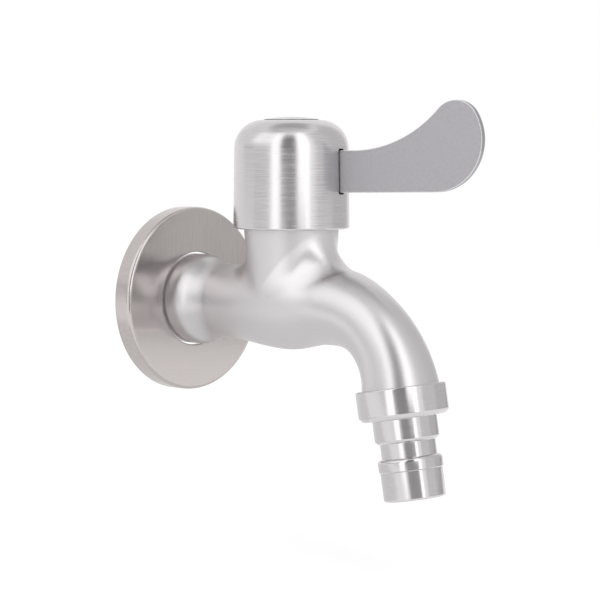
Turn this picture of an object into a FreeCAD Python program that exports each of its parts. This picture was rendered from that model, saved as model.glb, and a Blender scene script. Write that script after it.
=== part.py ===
import FreeCAD, Part
import math
import os
import Sketcher
from FreeCAD import Placement, Rotation, Vector

# Outdoor ball valve tap: a cast wall tap with a quarter-turn lever and a hose tail.
# Lengths are in millimetres. The origin is on the inlet axis at the wall plane,
# +X points out of the wall and +Z up. The lever is drawn a little way open.

SIZES = {
    # body casting
    "neck_reach": 44.5,
    "inlet_thread_radius": 10.48,
    "inlet_thread_length": 14.0,
    "inlet_thread_chamfer": 1.0,
    "shoulder_reach": 1.6,
    "shoulder_round": 1.8,
    "bulb_reach": 8.6,
    "bulb_radius": 13.3,
    "bulb_round": 9.0,
    "bulb_turn": 27.0,
    "waist_reach": 20.7,
    "waist_radius": 10.7,
    "belly_radius": 12.5,
    "spout_reach": 40.4,
    "spout_drop": 19.9,
    "spout_rise": 0.7,
    "spout_lean": 10.2,
    "spout_root_radius": 10.9,
    "spout_mid_radius": 9.5,
    "spout_end_radius": 10.65,
    "outlet_thread_radius": 10.1,
    "outlet_thread_length": 5.4,
    "outlet_thread_root": 1.2,
    "neck_root_radius": 12.0,
    "neck_radius": 13.5,
    "neck_height": 28.1,
    "neck_straight": 5.5,
    "neck_chamfer": 0.6,
    "neck_blend": 7.0,
    # waterway inside the body
    "inlet_bore_radius": 7.8,
    "outlet_bore_radius": 6.4,
    "outlet_mouth_radius": 6.8,
    "stem_bore_top": 13.0,
    "gland_pocket_radius": 7.2,
    "gland_pocket_top": 17.5,
    "gland_thread_radius": 8.0,
    # ball and its two seats
    "ball_radius": 7.5,
    "ball_bore_radius": 4.6,
    "ball_slot_width": 4.0,
    "ball_slot_depth": 2.4,
    "seat_bore_radius": 4.7,
    "seat_front": 4.0,
    "seat_back": 8.6,
    "retainer_length": 7.0,
    "retainer_socket": 10.0,
    "retainer_socket_depth": 4.0,
    "retainer_ring_section": 0.7,
    "retainer_ring_setback": 5.6,
    # stem, washers and gland nut
    "stem_radius": 4.0,
    "stem_tang_width": 6.4,
    "stem_tang_top": 9.2,
    "stem_collar_radius": 6.4,
    "stem_collar_height": 2.4,
    "stem_shoulder_gap": 0.3,
    "stem_square": 5.5,
    "stem_top_gap": 2.7,
    "stem_ring_section": 0.8,
    "stem_ring_drop": 6.7,
    "stem_ring_pitch": 3.4,
    "washer_thickness": 1.0,
    "gland_nut_flats": 17.0,
    "gland_nut_head": 4.0,
    "gland_ring_section": 0.7,
    # quarter-turn stop
    "stop_pin_radius": 1.0,
    "stop_pin_circle": 11.4,
    "stop_pin_depth": 4.0,
    "stop_pin_height": 5.9,
    "stop_washer_thickness": 1.2,
    "stop_washer_radius": 7.0,
    "stop_arm_width": 3.0,
    "stop_arm_reach": 12.7,
    "lever_travel": 90.0,
    "lever_at_rest": 12.0,
    # handle
    "dome_overlap": 6.1,
    "dome_height": 30.6,
    "dome_radius": 16.5,
    "dome_upper_radius": 16.05,
    "dome_corner_radius": 8.1,
    "dome_base_round": 0.5,
    "dome_cavity_radius": 14.4,
    "dome_ceiling_radius": 9.5,
    "dome_ceiling_wall": 1.8,
    "dome_ceiling_slope": 3.4,
    "screw_hole_radius": 6.5,
    "hub_radius": 9.0,
    "hub_collar_radius": 13.6,
    "hub_collar_height": 5.2,
    "hub_shoulder_drop": 3.6,
    "hub_cleft_depth": 4.4,
    "screw_radius": 2.0,
    "screw_length": 9.0,
    "screw_head_radius": 3.6,
    "screw_head_height": 2.4,
    "screw_socket": 2.5,
    "screw_socket_depth": 1.4,
    "screw_washer_thickness": 0.9,
    "screw_pocket_radius": 4.4,
    "screw_pocket_depth": 4.4,
    "button_radius": 7.8,
    "button_rim": 2.0,
    "button_crown": 0.9,
    "button_stub_radius": 6.0,
    "button_stub_length": 1.4,
    # lever blade
    "blade_lift": 10.2,
    "blade_thickness": 2.0,
    "blade_root_height": 11.9,
    "blade_straight_end": 20.3,
    "blade_sweep_radius": 36.4,
    "blade_sweep_turn": 46.6,
    "blade_tip_radius": 7.0,
    "blade_tip_turn": 104.6,
    "blade_lean": 1.0,
    "tongue_lift": 2.2,
    "tongue_height": 8.8,
    "tongue_start": 14.1,
    "lever_pin_radius": 0.8,
    "lever_pin_offset": 6.9,
    "lever_pin_pitch": 4.4,
    # hose tail
    "ring_radius": 12.4,
    "ring_length": 8.4,
    "ring_top_chamfer": 0.4,
    "ring_chamfer": 1.1,
    "ring_wall": 1.5,
    "gasket_thickness": 1.4,
    "tail_bore_radius": 6.2,
    "step_radius": 8.85,
    "step_end": 14.8,
    "step_chamfer": 0.7,
    "groove_radius": 7.6,
    "groove_end": 18.6,
    "flare_end": 20.7,
    "ridge_end": 22.6,
    "ridge_step": 0.3,
    "tail_radius": 8.5,
    "tail_end": 30.5,
    "tail_round": 0.6,
    # wall flange
    "flange_radius": 27.2,
    "flange_depth": 5.8,
    "flange_wall": 0.8,
    "flange_edge_round": 1.2,
    "flange_lip_round": 1.0,
    # running and seating clearances
    "running_gap": 0.05,
    "seat_gap": 0.1,
    "thread_gap": 0.05,
    "flange_gap": 0.15,
    "blade_gap": 0.1,
    "button_gap": 0.15,
    # how far a cutting outline runs past the face that it opens
    "overrun": 1.0,
}

doc = FreeCAD.newDocument("BallValveTap")
sheet = doc.addObject("Spreadsheet::Sheet", "Sizes")
for row, (alias, number) in enumerate(SIZES.items(), start=1):
    sheet.set(f"A{row}", alias)
    sheet.set(f"B{row}", str(number))
    sheet.setAlias(f"B{row}", alias)
doc.recompute()


# Sizes that keep both their number and the formula that ties them to the sheet

class Size:
    def __init__(self, number, formula):
        self.number = number
        self.formula = formula

    def __add__(self, other):
        other = as_size(other)
        return Size(self.number + other.number, f"({self.formula} + {other.formula})")

    def __sub__(self, other):
        other = as_size(other)
        return Size(self.number - other.number, f"({self.formula} - {other.formula})")

    def __mul__(self, other):
        other = as_size(other)
        return Size(self.number * other.number, f"({self.formula} * {other.formula})")

    def __truediv__(self, other):
        other = as_size(other)
        return Size(self.number / other.number, f"({self.formula} / {other.formula})")

    def __radd__(self, other):
        return as_size(other) + self

    def __rsub__(self, other):
        return as_size(other) - self

    def __rmul__(self, other):
        return as_size(other) * self

    def __neg__(self):
        return Size(-self.number, f"(0 - {self.formula})")


def as_size(value):
    return value if isinstance(value, Size) else Size(float(value), repr(float(value)))


def sine(angle):
    angle = as_size(angle)
    return Size(math.sin(math.radians(angle.number)), f"sin({angle.formula})")


def cosine(angle):
    angle = as_size(angle)
    return Size(math.cos(math.radians(angle.number)), f"cos({angle.formula})")


def root(value):
    return Size(math.sqrt(value.number), f"sqrt({value.formula})")


class Sheet:
    def __getattr__(self, alias):
        return Size(SIZES[alias], f"Sizes.{alias}")


at = Sheet()


# Helpers for bodies, sketches and features

subparts = []


def tie(item, path, size):
    item.setExpression(path, as_size(size).formula)


def new_body(name, x=0, z=0, turn=None, turn_axis=Vector(0, 0, 1)):
    body = doc.addObject("PartDesign::Body", name)
    body.Label = name
    if turn is not None:
        body.Placement = Placement(Vector(), Rotation(turn_axis, turn.number))
        tie(body, ".Placement.Rotation.Angle", turn)
    if isinstance(x, Size):
        tie(body, ".Placement.Base.x", x)
    if isinstance(z, Size):
        tie(body, ".Placement.Base.z", z)
    subparts.append(body)
    return body


def group(name, items, x, turn=None):
    """Equal loose pieces kept together as one named sub-part."""
    pieces = doc.addObject("Part::Compound", name)
    pieces.Label = name
    pieces.Links = items
    if turn is not None:
        pieces.Placement = Placement(Vector(), Rotation(Vector(0, 0, 1), turn.number))
        tie(pieces, ".Placement.Rotation.Angle", turn)
    tie(pieces, ".Placement.Base.x", x)
    subparts.append(pieces)


def origin_plane(body, role):
    for item in body.Origin.OriginFeatures:
        if item.Role == role:
            return item
    raise ValueError(role)


def new_sketch(body, name, role, along=None, up=None, out=None, tilt=None):
    """A sketch on an origin plane, moved along, up and out of that plane and tilted on its first axis."""
    sketch = body.newObject("Sketcher::SketchObject", name)
    sketch.AttachmentSupport = [(origin_plane(body, role), "")]
    sketch.MapMode = "FlatFace"
    if tilt is not None:
        sketch.AttachmentOffset = Placement(Vector(), Rotation(Vector(1, 0, 0), tilt.number))
        tie(sketch, ".AttachmentOffset.Rotation.Angle", tilt)
    for axis, size in (("x", along), ("y", up), ("z", out)):
        if size is not None:
            tie(sketch, f".AttachmentOffset.Base.{axis}", size)
    return sketch


def fix_point(sketch, geometry, end, x, y):
    """Hold one end of a sketch edge at x, y from the sketch's origin."""
    for size, kind, axis in ((x, "DistanceX", -2), (y, "DistanceY", -1)):
        if size.number == 0.0:
            sketch.addConstraint(Sketcher.Constraint("PointOnObject", geometry, end, axis))
        else:
            index = sketch.addConstraint(Sketcher.Constraint(kind, -1, 1, geometry, end, size.number))
            tie(sketch, f"Constraints[{index}]", size)


def draw_circle(sketch, radius, x=0, y=0):
    x, y, radius = as_size(x), as_size(y), as_size(radius)
    circle = Part.Circle(Vector(x.number, y.number, 0), Vector(0, 0, 1), radius.number)
    index = sketch.addGeometry(circle)
    fix_point(sketch, index, 3, x, y)
    tie(sketch, f"Constraints[{sketch.addConstraint(Sketcher.Constraint('Radius', index, radius.number))}]", radius)


def arc_edge(start, end, radius, side):
    """The short arc from start to end whose centre lies to the left or the right of that way."""
    chord = end - start
    middle = (start + end) * 0.5
    square = Vector(-chord.y, chord.x, 0).normalize()
    reach = math.sqrt(max(radius ** 2 - chord.Length ** 2 / 4, 0.0))
    centre = middle + square * (reach if side == "left" else -reach)
    first, last = (start, end) if side == "left" else (end, start)
    angles = [math.atan2(point.y - centre.y, point.x - centre.x) for point in (first, last)]
    return Part.ArcOfCircle(Part.Circle(centre, Vector(0, 0, 1), radius), angles[0], angles[1])


def draw_outline(sketch, corners):
    """A closed outline. Each corner is x, y and, where an arc leads to it, the radius and side of its centre."""
    points = [(as_size(corner[0]), as_size(corner[1])) for corner in corners]
    ends = []
    for index, corner in enumerate(corners):
        start = Vector(points[index - 1][0].number, points[index - 1][1].number, 0)
        end = Vector(points[index][0].number, points[index][1].number, 0)
        if len(corner) == 2:
            geometry = sketch.addGeometry(Part.LineSegment(start, end))
            ends.append((geometry, 1, 2))
            continue
        radius, side = as_size(corner[2]), corner[3]
        geometry = sketch.addGeometry(arc_edge(start, end, radius.number, side))
        ends.append((geometry, 1, 2) if side == "left" else (geometry, 2, 1))
        radius_index = sketch.addConstraint(Sketcher.Constraint("Radius", geometry, radius.number))
        tie(sketch, f"Constraints[{radius_index}]", radius)
    for index, (geometry, first, last) in enumerate(ends):
        before, _, before_last = ends[index - 1]
        sketch.addConstraint(Sketcher.Constraint("Coincident", geometry, first, before, before_last))
        fix_point(sketch, geometry, last, *points[index])


def revolve(body, name, sketch, axis="V_Axis"):
    feature = body.newObject("PartDesign::Revolution", name)
    feature.Profile = sketch
    feature.ReferenceAxis = (sketch, [axis])
    feature.Angle = 360.0
    return feature


def turned(body, corners, axis="V_Axis", name="Turning"):
    """A turned piece: its half section is drawn on the XZ plane and revolved about one axis."""
    sketch = new_sketch(body, f"{body.Name}{name}Section", "XZ_Plane")
    draw_outline(sketch, corners)
    return revolve(body, f"{body.Name}{name}", sketch, axis)


def pad(body, name, sketch, length, symmetric=False):
    feature = body.newObject("PartDesign::Pad", name)
    feature.Profile = sketch
    feature.SideType = "Symmetric" if symmetric else "One side"
    tie(feature, "Length", length)
    return feature


def pocket_through(body, name, sketch):
    """Cut a sketch's outline right through the body, both ways."""
    doc.recompute()
    before = body.Shape.Volume
    feature = body.newObject("PartDesign::Pocket", name)
    feature.Profile = sketch
    feature.SideType = "Symmetric"
    feature.Type = "ThroughAll"
    doc.recompute()
    assert body.Shape.Volume < before, f"{name} cuts nothing"
    return feature


def primitive(body, kind, name, sizes, x=None, y=None, z=None):
    """A box, prism or cylinder feature, with its sizes and its place tied to the sheet."""
    feature = body.newObject(f"PartDesign::{kind}", name)
    for label, size in sizes.items():
        tie(feature, label, size)
    for axis, size in (("x", x), ("y", y), ("z", z)):
        if size is not None:
            tie(feature, f".Placement.Base.{axis}", size)
    return feature


def box_feature(body, kind, name, length, width, low, height, x=None):
    """A box centred on the body's vertical axis, or from x on, that stands on the height low."""
    start = -length / 2 if x is None else x
    sizes = {"Length": length, "Width": width, "Height": height}
    return primitive(body, kind, name, sizes, start, -width / 2, low)


def ring(body, major, minor, height=0, name="Ring"):
    """A moulded round ring about the body's vertical axis."""
    sketch = new_sketch(body, f"{body.Name}{name}Section", "XZ_Plane")
    draw_circle(sketch, minor, major, height)
    return revolve(body, f"{body.Name}{name}", sketch)


def flat_ring(body, inner, outer, low, high):
    return turned(body, [(inner, low), (outer, low), (outer, high), (inner, high)])


# Sizes worked out from the ones above

bend_angle = 90 - at.spout_lean
bend_radius = (at.spout_drop + at.spout_rise) / (1 - cosine(bend_angle))
bend_start = at.spout_reach - bend_radius * sine(bend_angle)
chamber_end = at.neck_reach + at.seat_back
stem_bore_radius = at.stem_radius + at.running_gap
seat_outer_radius = at.inlet_bore_radius - at.seat_gap
thrust_washer_top = at.stem_bore_top + at.washer_thickness
collar_low = thrust_washer_top + at.running_gap
collar_top = collar_low + at.stem_collar_height
friction_washer_low = collar_top + at.running_gap
friction_washer_top = friction_washer_low + at.washer_thickness
neck_taper_height = at.neck_height - at.neck_straight
stem_shoulder = at.neck_height + at.gland_nut_head + at.stem_shoulder_gap
stop_washer_top = stem_shoulder + at.stop_washer_thickness
dome_base = at.neck_height - at.dome_overlap
dome_top = dome_base + at.dome_height
dome_ceiling_height = at.dome_height - at.button_rim - at.dome_ceiling_wall
dome_cavity_height = dome_ceiling_height - at.dome_ceiling_slope
hub_top = dome_base + dome_ceiling_height
screw_pocket_floor = hub_top - at.screw_pocket_depth
stem_top = screw_pocket_floor - at.stem_top_gap
hub_collar_low = hub_top - at.hub_collar_height
blade_base = dome_base + at.blade_lift
tongue_low = blade_base + at.tongue_lift
cleft_radius = at.hub_radius - at.hub_cleft_depth
blade_turn = at.lever_at_rest


# Tap body: inlet shank, belly, spout and neck in one casting

# where the loft's sections stand, as shares of the way along each stretch
EVEN_SHARES = (0.0, 0.25, 0.5, 0.75, 1.0)
BELLY_SHARES = (0.35, 0.7)
SPOUT_SHARES = (0.0, 0.25, 0.5, 0.75, 1.0)
PAST_THE_END = 1.04


def spout_point(share):
    """Place, slope and radius of the spout's section at a share of its bend."""
    angle = bend_angle * share
    x = at.neck_reach + bend_start + bend_radius * sine(angle)
    z = at.spout_rise - bend_radius * (1 - cosine(angle))
    if share <= 0.5:
        radius = at.spout_root_radius + (at.spout_mid_radius - at.spout_root_radius) * ease(2 * share)
    else:
        mix = (2 * share - 1) ** 2
        radius = at.spout_mid_radius + (at.spout_end_radius - at.spout_mid_radius) * mix
    return x, z, angle if share > 0 else None, radius


def draw_bend(path, share):
    """The spout's arc as a sketch edge, from its root to a share of its way."""
    start_x, start_z, _, _ = spout_point(0)
    end_x, end_z, _, _ = spout_point(share)
    start = Vector(start_x.number, start_z.number, 0)
    end = Vector(end_x.number, end_z.number, 0)
    arc = path.addGeometry(arc_edge(start, end, bend_radius.number, "right"))
    fix_point(path, arc, 2, start_x, start_z)
    fix_point(path, arc, 1, end_x, end_z)
    radius = path.addConstraint(Sketcher.Constraint("Radius", arc, bend_radius.number))
    tie(path, f"Constraints[{radius}]", bend_radius)


def round_sections(body, name, sections):
    """Circles across the run, each from its place, tilt and radius."""
    sketches = []
    for index, (x, z, angle, radius) in enumerate(sections):
        sketch = new_sketch(body, f"{name}Section{index}", "YZ_Plane", up=z, out=x, tilt=angle)
        draw_circle(sketch, radius)
        sketches.append(sketch)
    return sketches


def ease(share):
    """A smooth step from 0 to 1 that starts and ends level."""
    return (1 - math.cos(math.pi * share)) / 2


def make_tap_body():
    body = new_body("tap_body")
    # half section of the shank about the inlet axis, from the thread to the waist
    bulb_x = at.bulb_reach + at.bulb_round * sine(at.bulb_turn)
    bulb_z = at.bulb_radius - at.bulb_round * (1 - cosine(at.bulb_turn))
    flare_drop = bulb_z - at.waist_radius
    flare_radius = flare_drop / (1 - cosine(at.bulb_turn))
    waist_x = bulb_x + flare_radius * sine(at.bulb_turn)
    thread_end = -at.inlet_thread_length
    chamfered = at.inlet_thread_radius - at.inlet_thread_chamfer
    turned(body, [
        (thread_end, 0),
        (thread_end, chamfered),
        (thread_end + at.inlet_thread_chamfer, at.inlet_thread_radius),
        (at.shoulder_reach, at.inlet_thread_radius),
        (at.shoulder_reach, at.bulb_radius - at.shoulder_round),
        (at.shoulder_reach + at.shoulder_round, at.bulb_radius, at.shoulder_round, "right"),
        (at.bulb_reach, at.bulb_radius),
        (bulb_x, bulb_z, at.bulb_round, "right"),
        (waist_x, at.waist_radius, flare_radius, "left"),
        (at.waist_reach, at.waist_radius),
        (at.waist_reach, 0),
    ], "H_Axis", "Shank")
    # round sections from the waist through the belly to the spout's end
    sections = []
    swell = at.belly_radius - at.waist_radius
    fall = at.belly_radius - at.spout_root_radius
    for share in EVEN_SHARES:
        x = at.waist_reach + (at.neck_reach - at.waist_reach) * share
        sections.append((x, as_size(0), None, at.waist_radius + swell * ease(share)))
    for share in BELLY_SHARES:
        x = at.neck_reach + bend_start * share
        sections.append((x, at.spout_rise * ease(share), None, at.belly_radius - fall * ease(share)))
    x, z, _, radius = spout_point(0)
    sections.append((x, z, None, radius))
    run = round_sections(body, "Run", sections)
    loft = body.newObject("PartDesign::AdditiveLoft", "Run")
    loft.Profile = run[0]
    loft.Sections = run[1:]
    loft.Ruled = False
    # the spout bends down along one arc, with a slimmer middle
    path = new_sketch(body, "SpoutPath", "XZ_Plane")
    draw_bend(path, 1)
    bend = round_sections(body, "Spout", [spout_point(share) for share in SPOUT_SHARES])
    doc.recompute()
    pipe = body.newObject("PartDesign::AdditivePipe", "Spout")
    pipe.Profile = bend[0]
    pipe.Sections = bend[1:]
    pipe.Spine = (path, ["Edge1"])
    pipe.Transformation = "Multisection"
    # outlet thread, square to the spout's end and rooted a little way inside it
    x, z, angle, _ = spout_point(1.0)
    depth = at.outlet_thread_root
    thread = new_sketch(body, "OutletThreadSection", "YZ_Plane", up=z + depth * sine(angle),
                        out=x - depth * cosine(angle), tilt=angle)
    draw_circle(thread, at.outlet_thread_radius)
    pad(body, "OutletThread", thread, at.outlet_thread_length + depth)
    # neck about the stem axis
    neck = new_sketch(body, "NeckSection", "XZ_Plane", along=at.neck_reach)
    draw_outline(neck, [
        (0, 0),
        (at.neck_root_radius, 0),
        (at.neck_radius, neck_taper_height),
        (at.neck_radius, at.neck_height - at.neck_chamfer),
        (at.neck_radius - at.neck_chamfer, at.neck_height),
        (0, at.neck_height),
    ])
    plain = revolve(body, "Neck", neck)
    doc.recompute()
    # soft blend all round the neck's root
    blend = body.newObject("PartDesign::Fillet", "NeckBlend")
    blend.Base = (plain, neck_root_edges(plain.Shape))
    tie(blend, "Radius", at.neck_blend)
    doc.recompute()
    cut_waterway(body)


def neck_root_edges(shape):
    """The edges where the neck's cone meets the run below it."""
    slope = (at.neck_radius.number - at.neck_root_radius.number) / neck_taper_height.number
    names = []
    for index, edge in enumerate(shape.Edges, start=1):
        points = edge.discretize(9)
        gaps = []
        for point in points:
            reach = math.hypot(point.x - at.neck_reach.number, point.y)
            gaps.append(abs(reach - at.neck_root_radius.number - slope * point.z))
        heights = [point.z for point in points]
        level = max(heights) - min(heights) < 0.01
        straight = isinstance(edge.Curve, Part.Line)
        if max(gaps) < 0.05 and not straight and not level:
            names.append(f"Edge{index}")
    assert names, "the neck's root has no edge"
    return names


def cut_waterway(body):
    """Inlet bore and ball chamber, the spout's bore, and the stepped hole for the stem."""
    bore = new_sketch(body, "InletBoreSection", "XZ_Plane")
    low = -at.inlet_thread_length - at.overrun
    draw_outline(bore, [
        (low, 0),
        (low, at.inlet_bore_radius),
        (chamber_end, at.inlet_bore_radius),
        (chamber_end, 0),
    ])
    groove(body, "InletBore", bore, "H_Axis")
    # the spout's bore follows the middle of the casting, and a little past its end
    path = new_sketch(body, "WaterwayPath", "XZ_Plane")
    low = chamber_end - at.overrun
    bend_x, bend_z, _, _ = spout_point(0)
    start = Vector(low.number, bend_z.number, 0)
    line = path.addGeometry(Part.LineSegment(start, Vector(bend_x.number, bend_z.number, 0)))
    fix_point(path, line, 1, low, bend_z)
    fix_point(path, line, 2, bend_x, bend_z)
    draw_bend(path, PAST_THE_END)
    section = new_sketch(body, "WaterwaySection", "YZ_Plane", up=at.spout_rise, out=low)
    draw_circle(section, at.outlet_bore_radius)
    doc.recompute()
    before = body.Shape.Volume
    pipe = body.newObject("PartDesign::SubtractivePipe", "Waterway")
    pipe.Profile = section
    pipe.Spine = (path, ["Edge1", "Edge2"])
    doc.recompute()
    assert body.Shape.Volume < before, "the waterway cuts nothing"
    # the mouth is drilled a little wider, from below
    length = at.outlet_thread_length + at.overrun
    x, z, angle, _ = spout_point(1.0)
    mouth = new_sketch(body, "OutletMouthSection", "YZ_Plane", up=z - length * sine(angle),
                       out=x + length * cosine(angle), tilt=angle)
    draw_circle(mouth, at.outlet_mouth_radius)
    drill = body.newObject("PartDesign::Pocket", "OutletMouth")
    drill.Profile = mouth
    tie(drill, "Length", length)
    # stem hole, washer pocket and gland thread, from the chamber up
    stem = new_sketch(body, "StemHoleSection", "XZ_Plane", along=at.neck_reach)
    top = at.neck_height + at.overrun
    draw_outline(stem, [
        (0, 0),
        (stem_bore_radius, 0),
        (stem_bore_radius, at.stem_bore_top),
        (at.gland_pocket_radius, at.stem_bore_top),
        (at.gland_pocket_radius, at.gland_pocket_top),
        (at.gland_thread_radius, at.gland_pocket_top),
        (at.gland_thread_radius, top),
        (0, top),
    ])
    groove(body, "StemHole", stem, "V_Axis")
    for index, angle in enumerate(stop_pin_angles()):
        hole = new_sketch(body, f"StopPinHole{index}Section", "XY_Plane", out=at.neck_height - at.stop_pin_depth)
        x = at.neck_reach + at.stop_pin_circle * cosine(angle)
        draw_circle(hole, at.stop_pin_radius, x, at.stop_pin_circle * sine(angle))
        cut_up(body, f"StopPinHole{index}", hole, at.stop_pin_depth + at.overrun)


def groove(body, name, sketch, axis):
    """Cut a revolved section away and make sure that it met the body."""
    doc.recompute()
    before = body.Shape.Volume
    feature = body.newObject("PartDesign::Groove", name)
    feature.Profile = sketch
    feature.ReferenceAxis = (sketch, [axis])
    feature.Angle = 360.0
    doc.recompute()
    assert body.Shape.Volume < before, f"{name} cuts nothing"
    return feature


def cut_up(body, name, sketch, length):
    """Pocket from the sketch to the outer side of its plane."""
    doc.recompute()
    before = body.Shape.Volume
    feature = body.newObject("PartDesign::Pocket", name)
    feature.Profile = sketch
    feature.SideType = "One side"
    feature.Reversed = True
    tie(feature, "Length", length)
    doc.recompute()
    assert body.Shape.Volume < before, f"{name} cuts nothing"
    return feature


# Quarter-turn stop: an arm on the stem's washer swings between two pins in the neck

def stop_pin_angles():
    """Angles of the two pins about the neck, seen from above and counted from +X."""
    half_arm = (at.stop_arm_width / 2 + at.stop_pin_radius + at.running_gap) / at.stop_pin_circle
    spread = half_arm * (180 / math.pi)
    return 180 - spread, 180 + at.lever_travel + spread


def make_stop():
    washer = new_body("stop_washer", at.neck_reach, stem_shoulder, blade_turn)
    square = at.stem_square + 2 * at.running_gap
    flat_ring(washer, square / 2, at.stop_washer_radius, 0, at.stop_washer_thickness)
    # the arm starts under the ring, well clear of the square hole
    arm_length = at.stop_arm_reach - (at.stop_washer_radius + square) / 2
    box_feature(washer, "AdditiveBox", "StopArm", arm_length, at.stop_arm_width, 0,
                at.stop_washer_thickness, -at.stop_arm_reach)
    box_feature(washer, "SubtractiveBox", "StopSquare", square, square, 0, at.stop_washer_thickness)
    pins = []
    for index, angle in enumerate(stop_pin_angles()):
        pin = doc.addObject("Part::Cylinder", f"StopPin{index}")
        tie(pin, "Radius", at.stop_pin_radius)
        tie(pin, "Height", at.stop_pin_height + at.stop_pin_depth)
        tie(pin, ".Placement.Base.x", at.stop_pin_circle * cosine(angle))
        tie(pin, ".Placement.Base.y", at.stop_pin_circle * sine(angle))
        tie(pin, ".Placement.Base.z", at.neck_height - at.stop_pin_depth)
        pins.append(pin)
    group("stop_pins", pins, at.neck_reach)


# Ball, seats and the ring that holds them in the inlet bore

def make_ball():
    ball = new_body("valve_ball", at.neck_reach, turn=blade_turn + 90)
    radius = at.ball_radius
    turned(ball, [(0, -radius), (radius, 0, radius, "left"), (0, radius, radius, "left")])
    bore = new_sketch(ball, "BallBoreSection", "YZ_Plane")
    draw_circle(bore, at.ball_bore_radius)
    pocket_through(ball, "BallBore", bore)
    # slot across the top for the stem's tang, square to the bore
    box_feature(ball, "SubtractiveBox", "BallSlot", at.ball_slot_width, radius * 2,
                radius - at.ball_slot_depth, at.ball_slot_depth + at.overrun)


def make_seat(name, direction):
    """A moulded ring with a spherical face that takes the ball."""
    seat = new_body(name, at.neck_reach)
    cup = at.ball_radius + at.running_gap
    inner = root(cup * cup - at.seat_bore_radius * at.seat_bore_radius)
    outer = root(cup * cup - at.seat_front * at.seat_front)
    turned(seat, [
        (direction * inner, at.seat_bore_radius, cup, "right" if direction > 0 else "left"),
        (direction * at.seat_back, at.seat_bore_radius),
        (direction * at.seat_back, seat_outer_radius),
        (direction * at.seat_front, seat_outer_radius),
        (direction * at.seat_front, outer),
    ], "H_Axis")


def make_retainer():
    """Threaded ring behind the inlet seat, with a hexagon socket and a sealing ring."""
    back = at.neck_reach - at.seat_back
    retainer = new_body("seat_retainer", back)
    outer = at.inlet_bore_radius - at.thread_gap
    ring_centre = -at.retainer_ring_setback
    groove_half = at.retainer_ring_section + at.running_gap
    groove_floor = outer - 2 * at.retainer_ring_section
    turned(retainer, [
        (-at.retainer_length, at.seat_bore_radius),
        (0, at.seat_bore_radius),
        (0, outer),
        (ring_centre + groove_half, outer),
        (ring_centre + groove_half, groove_floor),
        (ring_centre - groove_half, groove_floor),
        (ring_centre - groove_half, outer),
        (-at.retainer_length, outer),
    ], "H_Axis")
    socket = new_sketch(retainer, "RetainerSocketSection", "YZ_Plane", out=-at.retainer_length)
    draw_hexagon(socket, at.retainer_socket)
    cut_up(retainer, "RetainerSocket", socket, at.retainer_socket_depth)
    seal = new_body("retainer_o_ring", back)
    section = new_sketch(seal, "RetainerRingSection", "XZ_Plane")
    middle = outer - at.retainer_ring_section - at.running_gap / 2
    draw_circle(section, at.retainer_ring_section - at.running_gap / 2, ring_centre, middle)
    revolve(seal, "RetainerRing", section, "H_Axis")


def draw_hexagon(sketch, flats):
    """A hexagon by its width across flats, with two corners on the sketch's first axis."""
    reach = flats / math.sqrt(3)
    corners = []
    for index in range(6):
        x = reach * round(math.cos(math.radians(60 * index)), 9)
        y = flats / 2 * (0, 1, 1, 0, -1, -1)[index]
        corners.append((x, y if y.number else 0))
    draw_outline(sketch, corners)


# Stem with its washers and sealing rings, and the gland nut that holds it down

def make_stem():
    stem = new_body("valve_stem", at.neck_reach, turn=blade_turn)
    tang_low = at.ball_radius - at.ball_slot_depth + at.running_gap
    shank = at.stem_radius
    floor = shank - 2 * at.stem_ring_section
    half = at.stem_ring_section + at.running_gap
    low = at.neck_height - at.stem_ring_drop
    high = low + at.stem_ring_pitch
    turned(stem, [
        (0, at.stem_tang_top),
        (shank, at.stem_tang_top),
        (shank, collar_low),
        (at.stem_collar_radius, collar_low),
        (at.stem_collar_radius, collar_top),
        (shank, collar_top),
        (shank, low - half),
        (floor, low - half),
        (floor, low + half),
        (shank, low + half),
        (shank, high - half),
        (floor, high - half),
        (floor, high + half),
        (shank, high + half),
        (shank, stem_shoulder),
        (0, stem_shoulder),
    ])
    square_height = stem_top - stem_shoulder
    box_feature(stem, "AdditiveBox", "StemSquare", at.stem_square, at.stem_square,
                stem_shoulder, square_height)
    # tang in line with the lever, so that it lies along the ball's slot
    tang_width = at.ball_slot_width - 2 * at.running_gap
    box_feature(stem, "AdditiveBox", "StemTang", at.stem_tang_width, tang_width,
                tang_low, at.stem_tang_top - tang_low)
    tapped = new_sketch(stem, "StemTappedHoleSection", "XZ_Plane")
    hole = at.screw_radius + at.thread_gap
    depth = stem_top - at.screw_length - at.overrun
    top = stem_top + at.overrun
    draw_outline(tapped, [(0, depth), (hole, depth), (hole, top), (0, top)])
    groove(stem, "StemTappedHole", tapped, "V_Axis")
    rings = []
    for index, height in enumerate((low, high)):
        torus = doc.addObject("Part::Torus", f"StemRing{index}")
        section = at.stem_ring_section - at.running_gap / 4
        tie(torus, "Radius2", section)
        tie(torus, "Radius1", shank - at.stem_ring_section + at.running_gap / 4)
        tie(torus, ".Placement.Base.z", height)
        rings.append(torus)
    group("stem_o_rings", rings, at.neck_reach)


def make_washers():
    thrust = new_body("thrust_washer", at.neck_reach)
    outer = at.gland_pocket_radius - at.seat_gap
    flat_ring(thrust, stem_bore_radius, outer, at.stem_bore_top, thrust_washer_top)
    friction = new_body("friction_washer", at.neck_reach)
    flat_ring(friction, stem_bore_radius, outer, friction_washer_low, friction_washer_top)


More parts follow.
